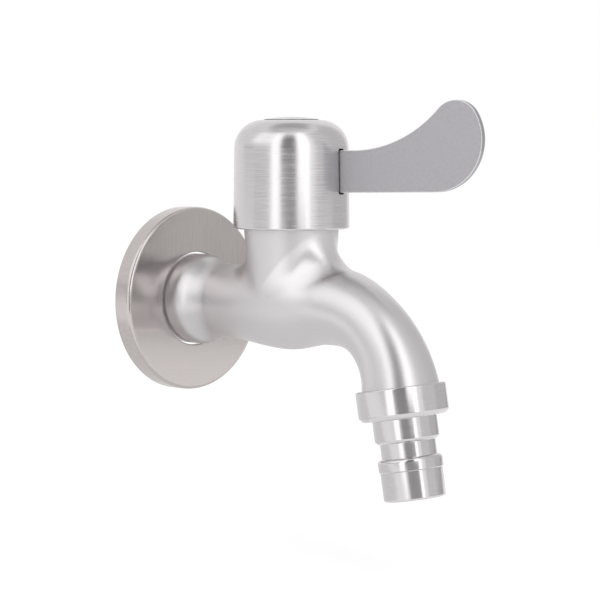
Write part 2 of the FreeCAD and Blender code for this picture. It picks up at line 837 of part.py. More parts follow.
def make_gland_nut():
    nut = new_body("gland_nut", at.neck_reach)
    outer = at.gland_thread_radius - at.thread_gap
    top = at.neck_height + at.gland_nut_head
    neckdown = outer - 2 * at.gland_ring_section
    ring_low = at.neck_height - 2 * at.gland_ring_section
    turned(nut, [
        (stem_bore_radius, friction_washer_top),
        (outer - at.neck_chamfer, friction_washer_top),
        (outer, friction_washer_top + at.neck_chamfer),
        (outer, ring_low),
        (neckdown, ring_low),
        (neckdown, top),
        (stem_bore_radius, top),
    ])
    head = new_sketch(nut, "GlandNutHeadSection", "XY_Plane", out=at.neck_height)
    draw_hexagon(head, at.gland_nut_flats)
    draw_circle(head, neckdown)
    pad(nut, "GlandNutHead", head, at.gland_nut_head)
    seal = new_body("gland_nut_o_ring", at.neck_reach, at.neck_height - at.gland_ring_section)
    ring(seal, outer - at.gland_ring_section, at.gland_ring_section - at.running_gap / 2)


# Handle: domed cap, hub, lever blade and what fastens them to the stem

def make_dome():
    dome = new_body("handle_dome", at.neck_reach, dome_base, blade_turn)
    corner = at.dome_corner_radius
    flat = at.dome_upper_radius - corner
    recess = at.button_radius + at.button_gap
    turned(dome, [
        (at.dome_cavity_radius, 0),
        (at.dome_radius - at.dome_base_round, 0),
        (at.dome_radius, at.dome_base_round, at.dome_base_round, "left"),
        (at.dome_upper_radius, at.dome_height - corner),
        (flat, at.dome_height, corner, "left"),
        (recess, at.dome_height),
        (recess, at.dome_height - at.button_rim),
        (at.screw_hole_radius, at.dome_height - at.button_rim),
        (at.screw_hole_radius, dome_ceiling_height),
        (at.dome_ceiling_radius, dome_ceiling_height),
        (at.dome_cavity_radius, dome_cavity_height),
    ])
    # slot in the wall for the blade's root
    slot = new_sketch(dome, "BladeSlotSection", "YZ_Plane", out=at.dome_cavity_radius - 2 * at.overrun)
    half = at.blade_thickness / 2 + at.blade_gap
    low = at.blade_lift - at.blade_gap
    high = low + at.blade_root_height + 2 * at.blade_gap
    draw_outline(slot, [(-half, low), (half, low), (half, high), (-half, high)])
    cut_up(dome, "BladeSlot", slot, at.dome_radius - at.dome_cavity_radius + 3 * at.overrun)


def make_hub():
    hub = new_body("handle_hub", at.neck_reach, turn=blade_turn)
    collar = at.hub_collar_radius
    turned(hub, [
        (at.screw_radius + at.seat_gap, stop_washer_top),
        (at.hub_radius, stop_washer_top),
        (at.hub_radius, hub_collar_low),
        (collar, hub_collar_low),
        (collar, hub_top - at.seat_gap - at.hub_shoulder_drop),
        (at.dome_ceiling_radius, hub_top - at.seat_gap),
        (at.screw_pocket_radius, hub_top - at.seat_gap),
        (at.screw_pocket_radius, screw_pocket_floor),
        (at.screw_radius + at.seat_gap, screw_pocket_floor),
    ])
    square = at.stem_square + 2 * at.running_gap
    box_feature(hub, "SubtractiveBox", "HubSquare", square, square, stop_washer_top,
                stem_top + at.seat_gap - stop_washer_top)
    cleft = at.blade_thickness + 2 * at.blade_gap
    box_feature(hub, "SubtractiveBox", "HubCleft", at.hub_collar_radius, cleft,
                tongue_low - at.blade_gap, at.tongue_height + 2 * at.blade_gap, cleft_radius)
    for index, height in enumerate(lever_pin_heights()):
        hole = new_sketch(hub, f"LeverPinHole{index}Section", "XZ_Plane", along=at.lever_pin_offset)
        draw_circle(hole, at.lever_pin_radius, 0, height)
        pocket_through(hub, f"LeverPinHole{index}", hole)


def lever_pin_heights():
    middle = tongue_low + at.tongue_height / 2
    return middle - at.lever_pin_pitch / 2, middle + at.lever_pin_pitch / 2


def make_blade():
    """Flat lever: a straight root, a sweep up to the thumb end and a round tip, cut from plate."""
    blade = new_body("lever_blade", at.neck_reach, blade_base, blade_turn)
    sweep, tip = at.blade_sweep_radius, at.blade_tip_radius
    sweep_turn, tip_turn = at.blade_sweep_turn, at.blade_tip_turn
    rise_x = at.blade_straight_end + sweep * sine(sweep_turn)
    rise_z = at.blade_root_height + sweep * (1 - cosine(sweep_turn))
    down = tip_turn - sweep_turn
    crown_x = rise_x + tip * (sine(sweep_turn) + sine(down))
    crown_z = rise_z + tip * (cosine(down) - cosine(sweep_turn))
    # the heel's arc runs from the crown to the lower edge, which rises a little from the dome
    lean = at.blade_lean
    heel = crown_z * cosine(lean) - (crown_x - at.tongue_start) * sine(lean)
    heel = heel / (1 + cosine(down + lean))
    heel_x = crown_x - heel * sine(down)
    heel_z = crown_z - heel * cosine(down)
    tongue_top = at.tongue_lift + at.tongue_height
    start = cleft_radius + at.seat_gap
    sketch = new_sketch(blade, "BladeSection", "XZ_Plane")
    draw_outline(sketch, [
        (start, tongue_top),
        (start, at.tongue_lift),
        (at.tongue_start, at.tongue_lift),
        (at.tongue_start, 0),
        (heel_x + heel * sine(lean), heel_z - heel * cosine(lean)),
        (heel_x + heel, heel_z, heel, "left"),
        (crown_x, crown_z, heel, "left"),
        (rise_x, rise_z, tip, "left"),
        (at.blade_straight_end, at.blade_root_height, sweep, "right"),
        (at.tongue_start, at.blade_root_height),
        (at.tongue_start, tongue_top),
    ])
    pad(blade, "BladePlate", sketch, at.blade_thickness, symmetric=True)
    for index, height in enumerate(lever_pin_heights()):
        hole = new_sketch(blade, f"BladePinHole{index}Section", "XZ_Plane", along=at.lever_pin_offset)
        draw_circle(hole, at.lever_pin_radius, 0, height - blade_base)
        pocket_through(blade, f"BladePinHole{index}", hole)
    chord = 2 * root(at.hub_radius * at.hub_radius - at.lever_pin_offset * at.lever_pin_offset)
    length = chord - 2 * at.seat_gap
    pins = []
    for index, height in enumerate(lever_pin_heights()):
        pin = doc.addObject("Part::Cylinder", f"LeverPin{index}")
        pin.Placement = Placement(Vector(), Rotation(Vector(1, 0, 0), -90))
        tie(pin, "Radius", at.lever_pin_radius)
        tie(pin, "Height", length)
        tie(pin, ".Placement.Base.x", at.lever_pin_offset)
        tie(pin, ".Placement.Base.y", -length / 2)
        tie(pin, ".Placement.Base.z", height)
        pins.append(pin)
    group("lever_pins", pins, at.neck_reach, blade_turn)


def make_handle_fasteners():
    washer = new_body("screw_washer", at.neck_reach, screw_pocket_floor)
    flat_ring(washer, at.screw_radius + at.seat_gap, at.screw_head_radius + at.running_gap, 0,
              at.screw_washer_thickness)
    seat = screw_pocket_floor + at.screw_washer_thickness
    screw = new_body("handle_screw", at.neck_reach, seat)
    shank = at.screw_radius
    head = at.screw_head_radius
    tip = stem_top - at.screw_length - seat
    turned(screw, [
        (0, tip),
        (shank, tip),
        (shank, 0),
        (head, 0),
        (head, at.screw_head_height),
        (0, at.screw_head_height),
    ])
    socket = new_sketch(screw, "ScrewSocketSection", "XY_Plane",
                        out=at.screw_head_height - at.screw_socket_depth)
    draw_hexagon(socket, at.screw_socket)
    cut_up(screw, "ScrewSocket", socket, at.screw_socket_depth + at.overrun)
    button = new_body("index_button", at.neck_reach, dome_top)
    crown_radius = (at.button_radius * at.button_radius + at.button_crown * at.button_crown)
    crown_radius = crown_radius / (2 * at.button_crown)
    rim = -at.button_rim + at.running_gap
    turned(button, [
        (0, rim - at.button_stub_length),
        (at.button_stub_radius, rim - at.button_stub_length),
        (at.button_stub_radius, rim),
        (at.button_radius, rim),
        (at.button_radius, 0),
        (0, at.button_crown, crown_radius, "left"),
    ])


# Hose tail with its threaded ring, and the gasket inside it

def make_hose_tail():
    x, z, angle, _ = spout_point(1.0)
    tail = new_body("hose_nozzle", x, z, angle - 90, Vector(0, 1, 0))
    socket = at.outlet_thread_radius + at.thread_gap
    floor = -(at.ring_length - at.ring_wall)
    bore = at.tail_bore_radius
    flare_radius = at.flare_end - at.groove_end
    turned(tail, [
        (socket, 0),
        (at.ring_radius - at.ring_top_chamfer, 0),
        (at.ring_radius, -at.ring_top_chamfer),
        (at.ring_radius, at.ring_chamfer - at.ring_length),
        (at.ring_radius - at.ring_chamfer, -at.ring_length),
        (at.step_radius, -at.ring_length),
        (at.step_radius, at.step_chamfer - at.step_end),
        (at.step_radius - at.step_chamfer, -at.step_end),
        (at.groove_radius, -at.step_end),
        (at.groove_radius, -at.groove_end),
        (at.step_radius, -at.flare_end, flare_radius, "right"),
        (at.step_radius, at.ridge_step - at.ridge_end),
        (at.tail_radius, -at.ridge_end),
        (at.tail_radius, at.tail_round - at.tail_end),
        (at.tail_radius - at.tail_round, -at.tail_end),
        (bore, -at.tail_end),
        (bore, floor),
        (socket, floor),
    ])
    gasket = new_body("nozzle_gasket", x, z, angle - 90, Vector(0, 1, 0))
    flat_ring(gasket, bore, socket - at.seat_gap, floor, floor + at.gasket_thickness)


# Wall flange: a thin pressed cup that slips over the shank

def make_wall_flange():
    flange = new_body("wall_flange")
    hole = at.bulb_radius + at.flange_gap
    face = at.flange_depth
    wall = at.flange_wall
    edge = at.flange_edge_round
    inner_edge = edge - wall
    lip = at.flange_lip_round
    inner_lip = lip + wall
    turned(flange, [
        (0, at.flange_radius),
        (0, at.flange_radius - wall),
        (face - edge, at.flange_radius - wall),
        (face - wall, at.flange_radius - edge, inner_edge, "right"),
        (face - wall, hole + inner_lip),
        (face - inner_lip, hole + wall, lip, "left"),
        (face - inner_lip, hole),
        (face, hole + inner_lip, inner_lip, "right"),
        (face, at.flange_radius - edge),
        (face - edge, at.flange_radius, edge, "left"),
    ], "H_Axis")


make_tap_body()
make_wall_flange()
make_retainer()
make_seat("inlet_seat", -1)
make_seat("outlet_seat", 1)
make_ball()
make_stem()
make_washers()
make_gland_nut()
make_stop()
make_dome()
make_hub()
make_blade()
make_handle_fasteners()
make_hose_tail()
doc.recompute()

for item in doc.Objects:
    failed = [state for state in item.State if state in ("Invalid", "Error")]
    assert not failed, f"{item.Name} is {failed}"
for item in subparts:
    assert not item.Shape.isNull() and item.Shape.isValid(), f"{item.Label} has no valid shape"

os.makedirs("parts", exist_ok=True)
for item in subparts:
    item.Shape.exportStep(f"parts/{item.Label}.step")
    print(item.Label, len(item.Shape.Solids), round(item.Shape.Volume, 1))
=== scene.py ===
# %% [markdown]
# # An outdoor ball valve tap in brushed stainless steel
#
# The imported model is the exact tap: its joints, its sizes and its hidden pieces. This lesson dresses
# it. The six pieces that can be seen are made again as finer meshes that sit exactly where the solids
# are, and the hidden ones keep their meshes and get a finish. The sizes below are in millimetres, the
# way a turner would read them, and each piece is brought to metres once, when it is finished.

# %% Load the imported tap
import math

import bmesh
import bpy
import numpy as np
from mathutils import Matrix, Vector


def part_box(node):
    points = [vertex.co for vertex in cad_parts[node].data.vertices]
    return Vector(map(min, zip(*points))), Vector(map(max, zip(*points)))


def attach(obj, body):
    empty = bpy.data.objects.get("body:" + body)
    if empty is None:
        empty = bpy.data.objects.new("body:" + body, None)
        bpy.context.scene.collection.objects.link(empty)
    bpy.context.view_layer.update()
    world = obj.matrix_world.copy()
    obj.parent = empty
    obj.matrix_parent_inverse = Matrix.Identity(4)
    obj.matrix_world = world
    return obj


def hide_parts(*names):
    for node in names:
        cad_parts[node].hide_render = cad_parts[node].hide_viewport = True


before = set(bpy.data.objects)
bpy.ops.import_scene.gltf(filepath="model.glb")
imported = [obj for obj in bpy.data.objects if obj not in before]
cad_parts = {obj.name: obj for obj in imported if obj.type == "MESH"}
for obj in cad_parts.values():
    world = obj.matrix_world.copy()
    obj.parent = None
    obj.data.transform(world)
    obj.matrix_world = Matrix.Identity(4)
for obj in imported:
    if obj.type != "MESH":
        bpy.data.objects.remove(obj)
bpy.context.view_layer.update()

MILLIMETRE = 0.001
scene = bpy.context.scene

# %% [markdown]
# ## Camera
#
# A product photograph like this one is taken with a long lens from a little above, turned so that the
# flange and the spout both show. The lens could be set by eye, but the outlines of the flange, cap and
# hose tail fix it: the camera stands 550 mm from the stem, and its picture is the square frame.

# %% Place the camera
SENSOR = 36.0
LENS = 116.27
CAMERA_TURN = math.radians(42.75)
CAMERA_RISE = math.radians(4.6)
CAMERA_PLACE = Vector((0.4195, -0.4021, 0.0458))
NEAREST_SEEN = 0.01


def direction(turn, rise=0.0):
    """The way from the tap to a place at a turn and a rise about it, both in radians."""
    return Vector((math.sin(turn) * math.cos(rise), -math.cos(turn) * math.cos(rise), math.sin(rise)))


camera_data = bpy.data.cameras.new("camera")
camera_data.lens = LENS
camera_data.sensor_width = SENSOR
camera_data.clip_start = NEAREST_SEEN
camera = bpy.data.objects.new("camera", camera_data)
camera.location = CAMERA_PLACE
camera.rotation_mode = "QUATERNION"
camera.rotation_quaternion = (-direction(CAMERA_TURN, CAMERA_RISE)).to_track_quat("-Z", "Y")
scene.collection.objects.link(camera)
scene.camera = camera
print("camera at", [round(v, 3) for v in camera.location])

# %% [markdown]
# ## A lathe for the turned pieces
#
# The flange, the cap, the button and the hose tail are all round about one line. A lathe makes them
# from a half section, and here it is the same: a few vertices are joined by edges, the corners that
# the real piece has rounded are bevelled, and the section is spun once about its line. Spinning a
# section keeps every edge where it was measured, which stacking cylinders would not.

# %% Turn a half section
FULL_TURN = 2 * math.pi
CLOSE = 1e-5


def turned(section, rounds=(), steps=160, closed=True, round_steps=8):
    """Spins a half section of (radius, height) corners; rounds gives a corner and its setback."""
    bm = bmesh.new()
    corners = [bm.verts.new((radius, 0.0, height)) for radius, height in section]
    for first, last in zip(corners, corners[1:]):
        bm.edges.new((first, last))
    if closed:
        bm.edges.new((corners[-1], corners[0]))
    for corner, setback in rounds:
        bmesh.ops.bevel(bm, geom=[corners[corner]], offset=setback, offset_type="OFFSET", segments=round_steps,
                        profile=0.5, affect="VERTICES", material=-1, clamp_overlap=False)
    bmesh.ops.spin(bm, geom=bm.verts[:] + bm.edges[:], cent=(0, 0, 0), axis=(0, 0, 1),
                   angle=FULL_TURN, steps=steps, use_merge=True)
    bmesh.ops.remove_doubles(bm, verts=bm.verts, dist=CLOSE)
    bmesh.ops.dissolve_degenerate(bm, edges=bm.edges, dist=CLOSE)
    bmesh.ops.recalc_face_normals(bm, faces=bm.faces)
    return bm


# %% Finish a piece
TURNED_SHARP, CAST_SHARP = 35.0, 40.0


def finished(bm, name, body, nodes, sharp=TURNED_SHARP):
    """Brings a mesh from millimetres to metres and puts the piece in the place of its nodes."""
    bmesh.ops.scale(bm, vec=Vector((MILLIMETRE,) * 3), verts=bm.verts)
    mesh = bpy.data.meshes.new(name)
    bm.to_mesh(mesh)
    bm.free()
    for polygon in mesh.polygons:
        polygon.use_smooth = True
    mesh.set_sharp_from_angle(angle=math.radians(sharp))
    piece = bpy.data.objects.new(name, mesh)
    scene.collection.objects.link(piece)
    even = piece.modifiers.new("even_shading", "WEIGHTED_NORMAL")
    even.keep_sharp = True
    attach(piece, body)
    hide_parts(*nodes)
    triangles = sum(len(polygon.vertices) - 2 for polygon in mesh.polygons)
    print(name, "has", triangles, "triangles")
    return piece


# %% Bore a mesh, or join others to it
def bored(bm, cutters, mode="DIFFERENCE"):
    """Cuts other meshes out of one, or joins them to it, and gives the result as a new bmesh."""
    mesh = bpy.data.meshes.new("blank")
    bm.to_mesh(mesh)
    bm.free()
    blank = bpy.data.objects.new("blank", mesh)
    scene.collection.objects.link(blank)
    tools = []
    for index, cutter in enumerate(cutters):
        shape = bpy.data.meshes.new(f"cutter{index}")
        cutter.to_mesh(shape)
        cutter.free()
        tool = bpy.data.objects.new(f"cutter{index}", shape)
        scene.collection.objects.link(tool)
        tools.append(tool)
        cut = blank.modifiers.new(f"cut{index}", "BOOLEAN")
        cut.operation = mode
        cut.solver = "MANIFOLD"
        cut.object = tool
    shaped = bpy.data.meshes.new_from_object(blank.evaluated_get(bpy.context.evaluated_depsgraph_get()))
    result = bmesh.new()
    result.from_mesh(shaped)
    for item in (blank, *tools):
        bpy.data.objects.remove(item)
    bmesh.ops.remove_doubles(result, verts=result.verts, dist=CLOSE)
    return result


# %% [markdown]
# ## Where the run goes
#
# Between the wall and the hose tail the casting is one round tube whose middle line and radius both
# change: a bulb behind the flange, a waist, a belly under the neck, and a spout bent down along one
# arc. Both are written as functions, so the tube, the neck's blend and the bore all follow one line.

# %% The run's middle line and radius
STEM_LINE = 44.5
BULB_END, BULB_RADIUS, BULB_ROUND = 8.6, 13.3, 9.0
BULB_TURN = math.radians(27.0)
WAIST_END, WAIST_RADIUS = 20.7, 10.7
BELLY_RADIUS = 12.5
SPOUT_ROOT, SPOUT_MIDDLE, SPOUT_END = 10.9, 9.5, 10.65
SPOUT_RISE = 0.7
SPOUT_REACH, SPOUT_DROP = 40.4, 19.9
BEND_TURN = math.radians(79.8)
BEND_RADIUS = (SPOUT_DROP + SPOUT_RISE) / (1 - math.cos(BEND_TURN))
BEND_X = STEM_LINE + SPOUT_REACH - BEND_RADIUS * math.sin(BEND_TURN)
BEND_MIDDLE = Vector((BEND_X, 0.0, SPOUT_RISE - BEND_RADIUS))
bulb_fall = BULB_ROUND * (1 - math.cos(BULB_TURN))
flare_start = BULB_END + BULB_ROUND * math.sin(BULB_TURN)
flare_round = (BULB_RADIUS - bulb_fall - WAIST_RADIUS) / (1 - math.cos(BULB_TURN))
flare_end = flare_start + flare_round * math.sin(BULB_TURN)


def eased(share):
    """A smooth step from 0 to 1 that starts and ends level."""
    return (1 - np.cos(np.pi * np.clip(share, 0, 1))) / 2


def straight_radius(x):
    """The run's radius between the bulb and the start of the bend."""
    bulb = BULB_RADIUS - BULB_ROUND + np.sqrt(np.clip(BULB_ROUND ** 2 - (x - BULB_END) ** 2, 0, None))
    flare = WAIST_RADIUS + flare_round - np.sqrt(np.clip(flare_round ** 2 - (flare_end - x) ** 2, 0, None))
    swell = WAIST_RADIUS + (BELLY_RADIUS - WAIST_RADIUS) * eased((x - WAIST_END) / (STEM_LINE - WAIST_END))
    fall = BELLY_RADIUS - (BELLY_RADIUS - SPOUT_ROOT) * eased((x - STEM_LINE) / (BEND_X - STEM_LINE))
    return np.select([x < BULB_END, x < flare_start, x < flare_end, x < STEM_LINE],
                     [BULB_RADIUS, bulb, flare, swell], fall)


def straight_height(x):
    """The height of the run's middle line before the bend."""
    return SPOUT_RISE * eased((x - STEM_LINE) / (BEND_X - STEM_LINE))


def bend_radius(share):
    """The spout's radius at a share of the bend."""
    upper = SPOUT_ROOT + (SPOUT_MIDDLE - SPOUT_ROOT) * eased(2 * share)
    lower = SPOUT_MIDDLE + (SPOUT_END - SPOUT_MIDDLE) * (2 * share - 1) ** 2
    return np.where(share < 0.5, upper, lower)


print("bend of", round(BEND_RADIUS, 2), "mm from x", round(BEND_X, 2))

# %% [markdown]
# ## The casting, first as rings and a neck
#
# A real body is poured in one piece and then ground. Here a ring is extruded from station to station
# along the middle line, each ring moved, turned and scaled into its place. A cone and an upright
# cylinder stand on it for the neck. The run and the neck go past their ends, so that the ends can be
# cut off flat later.

# %% Extrude the run and stand the neck on it
RING_STEPS = 96
NECK_ROOT, NECK_RADIUS = 12.0, 13.5
NECK_TAPER, NECK_TOP = 22.6, 28.1
NECK_OVERLAP, PAST_END = 1.0, 1.6
SHOULDER_X, SHOULDER_ROUND, SHOULDER_STEPS = 1.6, 1.8, 6
FIRST_GAP, STRAIGHT_RINGS, BEND_RINGS = 0.8, 64, 40


def station(x, z, tilt, radius):
    """The matrix that carries a unit ring to a place on the run."""
    turn = Matrix.Rotation(math.pi / 2 + tilt, 4, "Y")
    return Matrix.Translation((x, 0.0, z)) @ turn @ Matrix.Scale(radius, 4)


def bend_station(share, radius):
    """A station at a share of the spout's bend."""
    tilt = BEND_TURN * share
    x = BEND_X + BEND_RADIUS * math.sin(tilt)
    z = SPOUT_RISE - BEND_RADIUS * (1 - math.cos(tilt))
    return station(x, z, tilt, radius)


def run_stations():
    """Stations from the shoulder to a little past the spout's end."""
    for step in range(SHOULDER_STEPS + 1):
        angle = math.pi / 2 * step / SHOULDER_STEPS
        x = SHOULDER_X + SHOULDER_ROUND * (1 - math.cos(angle))
        yield station(x, 0.0, 0.0, BULB_RADIUS - SHOULDER_ROUND * (1 - math.sin(angle)))
    for x in np.linspace(SHOULDER_X + SHOULDER_ROUND + FIRST_GAP, BEND_X, STRAIGHT_RINGS):
        yield station(x, straight_height(x), 0.0, float(straight_radius(x)))
    past = 1 + PAST_END / (BEND_RADIUS * BEND_TURN)
    for share in np.linspace(0, past, BEND_RINGS + 1)[1:]:
        yield bend_station(share, float(bend_radius(share)))


def extruded(stations):
    """A tube through the stations, with both ends closed."""
    bm = bmesh.new()
    places = list(stations)
    ring = bmesh.ops.create_circle(bm, segments=RING_STEPS, radius=1.0, cap_ends=False, matrix=places[0])["verts"]
    edges = list({edge for vert in ring for edge in vert.link_edges})
    bmesh.ops.contextual_create(bm, geom=edges)
    for before, after in zip(places, places[1:]):
        made = bmesh.ops.extrude_edge_only(bm, edges=edges)["geom"]
        ring = [item for item in made if isinstance(item, bmesh.types.BMVert)]
        edges = [item for item in made if isinstance(item, bmesh.types.BMEdge)]
        edges = [edge for edge in edges if edge.verts[0] in ring and edge.verts[1] in ring]
        bmesh.ops.transform(bm, matrix=after @ before.inverted(), verts=ring)
    bmesh.ops.contextual_create(bm, geom=edges)
    bmesh.ops.recalc_face_normals(bm, faces=bm.faces)
    return bm


casting = extruded(run_stations())
neck_low = Matrix.Translation((STEM_LINE, 0.0, NECK_TAPER / 2))
bmesh.ops.create_cone(casting, cap_ends=True, segments=RING_STEPS, radius1=NECK_ROOT, radius2=NECK_RADIUS,
                      depth=NECK_TAPER, matrix=neck_low)
upright = NECK_TOP + PAST_END - NECK_TAPER + NECK_OVERLAP
neck_high = Matrix.Translation((STEM_LINE, 0.0, NECK_TAPER - NECK_OVERLAP + upright / 2))
bmesh.ops.create_cone(casting, cap_ends=True, segments=RING_STEPS, radius1=NECK_RADIUS, radius2=NECK_RADIUS,
                      depth=upright, matrix=neck_high)
print("rough casting:", len(casting.faces), "faces")

# %% [markdown]
# ## One skin, with the neck blended in
#
# Where the neck meets the run the real casting has a soft hollow, of about 7 mm at the sides and wider
# towards the spout. Bevelling the edge of a boolean would leave a ragged strip, because the two
# surfaces are nearly tangent at the sides. So the rough shape is remeshed into one even skin, and then
# every point of the skin is drawn on to the blended surface: the run and the neck joined by a rounding
# that rolls between them.

# %% Remesh the casting
SKIN_CELL, SMOOTHINGS = 0.42, 3


def remeshed(bm, cell):
    """One even skin over everything in the mesh."""
    mesh = bpy.data.meshes.new("rough")
    bm.to_mesh(mesh)
    bm.free()
    rough = bpy.data.objects.new("rough", mesh)
    scene.collection.objects.link(rough)
    skin = rough.modifiers.new("skin", "REMESH")
    skin.mode = "VOXEL"
    skin.voxel_size = cell
    skin.adaptivity = 0.0
    shaped = bpy.data.meshes.new_from_object(rough.evaluated_get(bpy.context.evaluated_depsgraph_get()))
    result = bmesh.new()
    result.from_mesh(shaped)
    bpy.data.objects.remove(rough)
    return result


casting = remeshed(casting, SKIN_CELL)
for _ in range(SMOOTHINGS):
    bmesh.ops.smooth_vert(casting, verts=casting.verts, factor=0.5, use_axis_x=True, use_axis_y=True, use_axis_z=True)
print("skin:", len(casting.faces), "faces")

# %% Measure how far a point lies from the blend
NECK_BLEND, WEB_SWELL = 7.0, 4.0
WEB_FROM, WEB_SPAN = 0.7, 0.3
LEAST_OPENING = 1e-4


def run_gap(points):
    """How far points lie outside the run's skin, and the way out of it."""
    x, y, z = points[:, 0], points[:, 1], points[:, 2]
    up = z - straight_height(x)
    reach = np.maximum(np.hypot(y, up), CLOSE)
    straight = reach - straight_radius(x)
    straight_way = np.stack([np.zeros_like(x), y / reach, up / reach], axis=1)
    from_x, from_z = x - BEND_MIDDLE.x, z - BEND_MIDDLE.z
    arm = np.hypot(from_x, from_z)
    off = arm - BEND_RADIUS
    round_reach = np.maximum(np.hypot(off, y), CLOSE)
    bent = round_reach - bend_radius(np.arctan2(from_x, from_z) / BEND_TURN)
    bent_way = np.stack([off * from_x / arm, y, off * from_z / arm], axis=1) / round_reach[:, None]
    before = x < BEND_X
    return np.where(before, straight, bent), np.where(before[:, None], straight_way, bent_way)


def neck_gap(points):
    """How far points lie outside the neck's skin, and the way out of it."""
    x, y = points[:, 0] - STEM_LINE, points[:, 1]
    reach = np.maximum(np.hypot(x, y), CLOSE)
    taper = np.clip(points[:, 2] / NECK_TAPER, 0, 1)
    return reach - NECK_ROOT - (NECK_RADIUS - NECK_ROOT) * taper, np.stack([x, y, 0 * x], axis=1) / reach[:, None]


def blended_gap(points):
    """The run and the neck, joined by a ball that rolls between them."""
    (run, run_way), (neck, neck_way) = run_gap(points), neck_gap(points)
    alike = (run_way * neck_way).sum(axis=1)
    open_angle = np.maximum(1 - alike ** 2, LEAST_OPENING)
    radius = NECK_BLEND + WEB_SWELL * eased((neck_way[:, 0] - WEB_FROM) / WEB_SPAN)
    from_run, from_neck = run - radius, neck - radius
    under_ball = (from_run < alike * from_neck) & (from_neck < alike * from_run)
    ball = (from_run ** 2 + from_neck ** 2 - 2 * alike * from_run * from_neck) / open_angle
    joined = np.where(under_ball, radius - np.sqrt(np.maximum(ball, 0)), np.minimum(run, neck))
    return np.where(points[:, 2] > 0, joined, run)


above_spout = np.array([[STEM_LINE + NECK_RADIUS + NECK_BLEND, 0.0, NECK_TAPER]])
print("from the blend to a point before the neck:", round(float(blended_gap(above_spout)[0]), 2), "mm")

# %% Draw the skin on to the blend
DRAW_ROUNDS = 6
SKIN_FROM = 3.6
PROBE, LEAST_SLOPE, LONGEST_STEP = 0.01, 0.25, 1.0
MOST_POINTS = 90


def drawn_on(bm):
    """Moves each point of the skin along the blend's slope until it lies on it."""
    points = np.array([vert.co for vert in bm.verts])
    moving = points[:, 0] > SKIN_FROM
    for _ in range(DRAW_ROUNDS):
        gap = blended_gap(points)
        slope = np.stack([(blended_gap(points + PROBE * axis) - blended_gap(points - PROBE * axis)) / (2 * PROBE)
                          for axis in np.eye(3)], axis=1)
        size = np.maximum((slope ** 2).sum(axis=1), LEAST_SLOPE)
        step = np.clip(gap / size, -LONGEST_STEP, LONGEST_STEP) * moving
        points -= slope * step[:, None]
    for vert, place in zip(bm.verts, points):
        vert.co = place
    return float(np.percentile(np.abs(blended_gap(points))[moving], MOST_POINTS))


print("nine tenths of the skin within", round(drawn_on(casting), 4), "mm of the blend")

# %% [markdown]
# ## Ends, threads and bores
#
# The ends are cut flat with a plane, as a saw and a facing cut do. The inlet shank carries a pipe
# thread: a cylinder of close rings whose points are moved in and out along a helix, chamfered at the
# open end and fading at the other. A boolean joins it to the casting, and another bores the water's
# way, the stem's hole and the holes for two stop pins.

# %% Cut the ends flat
SPOUT_END_PLACE = Vector((STEM_LINE + SPOUT_REACH, 0.0, -SPOUT_DROP))
SPOUT_WAY = Vector((math.cos(BEND_TURN), 0.0, -math.sin(BEND_TURN)))


def faced(bm, place, outwards):
    """Cuts off what lies beyond a plane and closes the cut."""
    cut = bmesh.ops.bisect_plane(bm, geom=bm.verts[:] + bm.edges[:] + bm.faces[:], dist=CLOSE, plane_co=place,
                                 plane_no=outwards, clear_outer=True)["geom_cut"]
    edges = [item for item in cut if isinstance(item, bmesh.types.BMEdge)]
    bmesh.ops.holes_fill(bm, edges=edges)
    return [item for item in cut if isinstance(item, bmesh.types.BMVert)]


faced(casting, SPOUT_END_PLACE, SPOUT_WAY)
rim = faced(casting, Vector((STEM_LINE, 0.0, NECK_TOP)), Vector((0, 0, 1)))
print("rim of the neck:", len(rim), "points")

# %% Cut the inlet thread
THREAD_RADIUS, THREAD_DEPTH, THREAD_PITCH = 10.48, 1.0, 1.814
THREAD_START, THREAD_END, THREAD_ROOT = -14.0, 1.6, 8.0
THREAD_CHAMFER, THREAD_FADE = 1.0, 1.4
CREST_SHAPE = 0.8
RINGS_A_TURN = 12


def threaded_shank():
    """A cylinder of close rings, moved in and out along a helix."""
    count = round((THREAD_END - THREAD_START) / THREAD_PITCH * RINGS_A_TURN)
    heights = [*np.linspace(THREAD_START, THREAD_END, count), THREAD_ROOT]
    bm = extruded(station(x, 0.0, 0.0, THREAD_RADIUS) for x in heights)
    for vert in bm.verts:
        x, reach = vert.co.x, math.hypot(vert.co.y, vert.co.z)
        if reach < CLOSE or x > THREAD_END:
            continue
        phase = (x / THREAD_PITCH - math.atan2(vert.co.z, vert.co.y) / FULL_TURN) % 1.0
        depth = THREAD_DEPTH * (1 - abs(2 * phase - 1)) ** CREST_SHAPE
        fade = min(1.0, max(0.0, (THREAD_END - x) / THREAD_FADE - 1.0))
        radius = THREAD_RADIUS - depth * fade
        radius = min(radius, THREAD_RADIUS - THREAD_CHAMFER + (x - THREAD_START))
        vert.co.y *= radius / reach
        vert.co.z *= radius / reach
    return bm


shank = threaded_shank()
print("threaded shank:", len(shank.faces), "faces")

# %% Join the threads and bore the waterway
INLET_BORE, CHAMBER_END = 7.8, 53.1
OUTLET_BORE, OUTLET_MOUTH = 6.4, 6.8
OUTLET_THREAD, OUTLET_THREAD_LENGTH, OUTLET_THREAD_ROOT = 10.1, 5.4, 1.2
STEM_BORE, POCKET_FLOOR = 4.05, 13.0
POCKET_RADIUS, GLAND_FLOOR = 7.2, 17.5
GLAND_RADIUS, ABOVE_NECK = 8.0, 30.0
STOP_PINS = ((-11.33, 1.27), (1.27, -11.33))
PIN_RADIUS, PIN_DEPTH, PIN_STEPS = 1.0, 4.0, 24
CUT_PAST, BORE_PAST = 1.0, 1.04
BORE_STEPS, BORE_RINGS = 64, 30


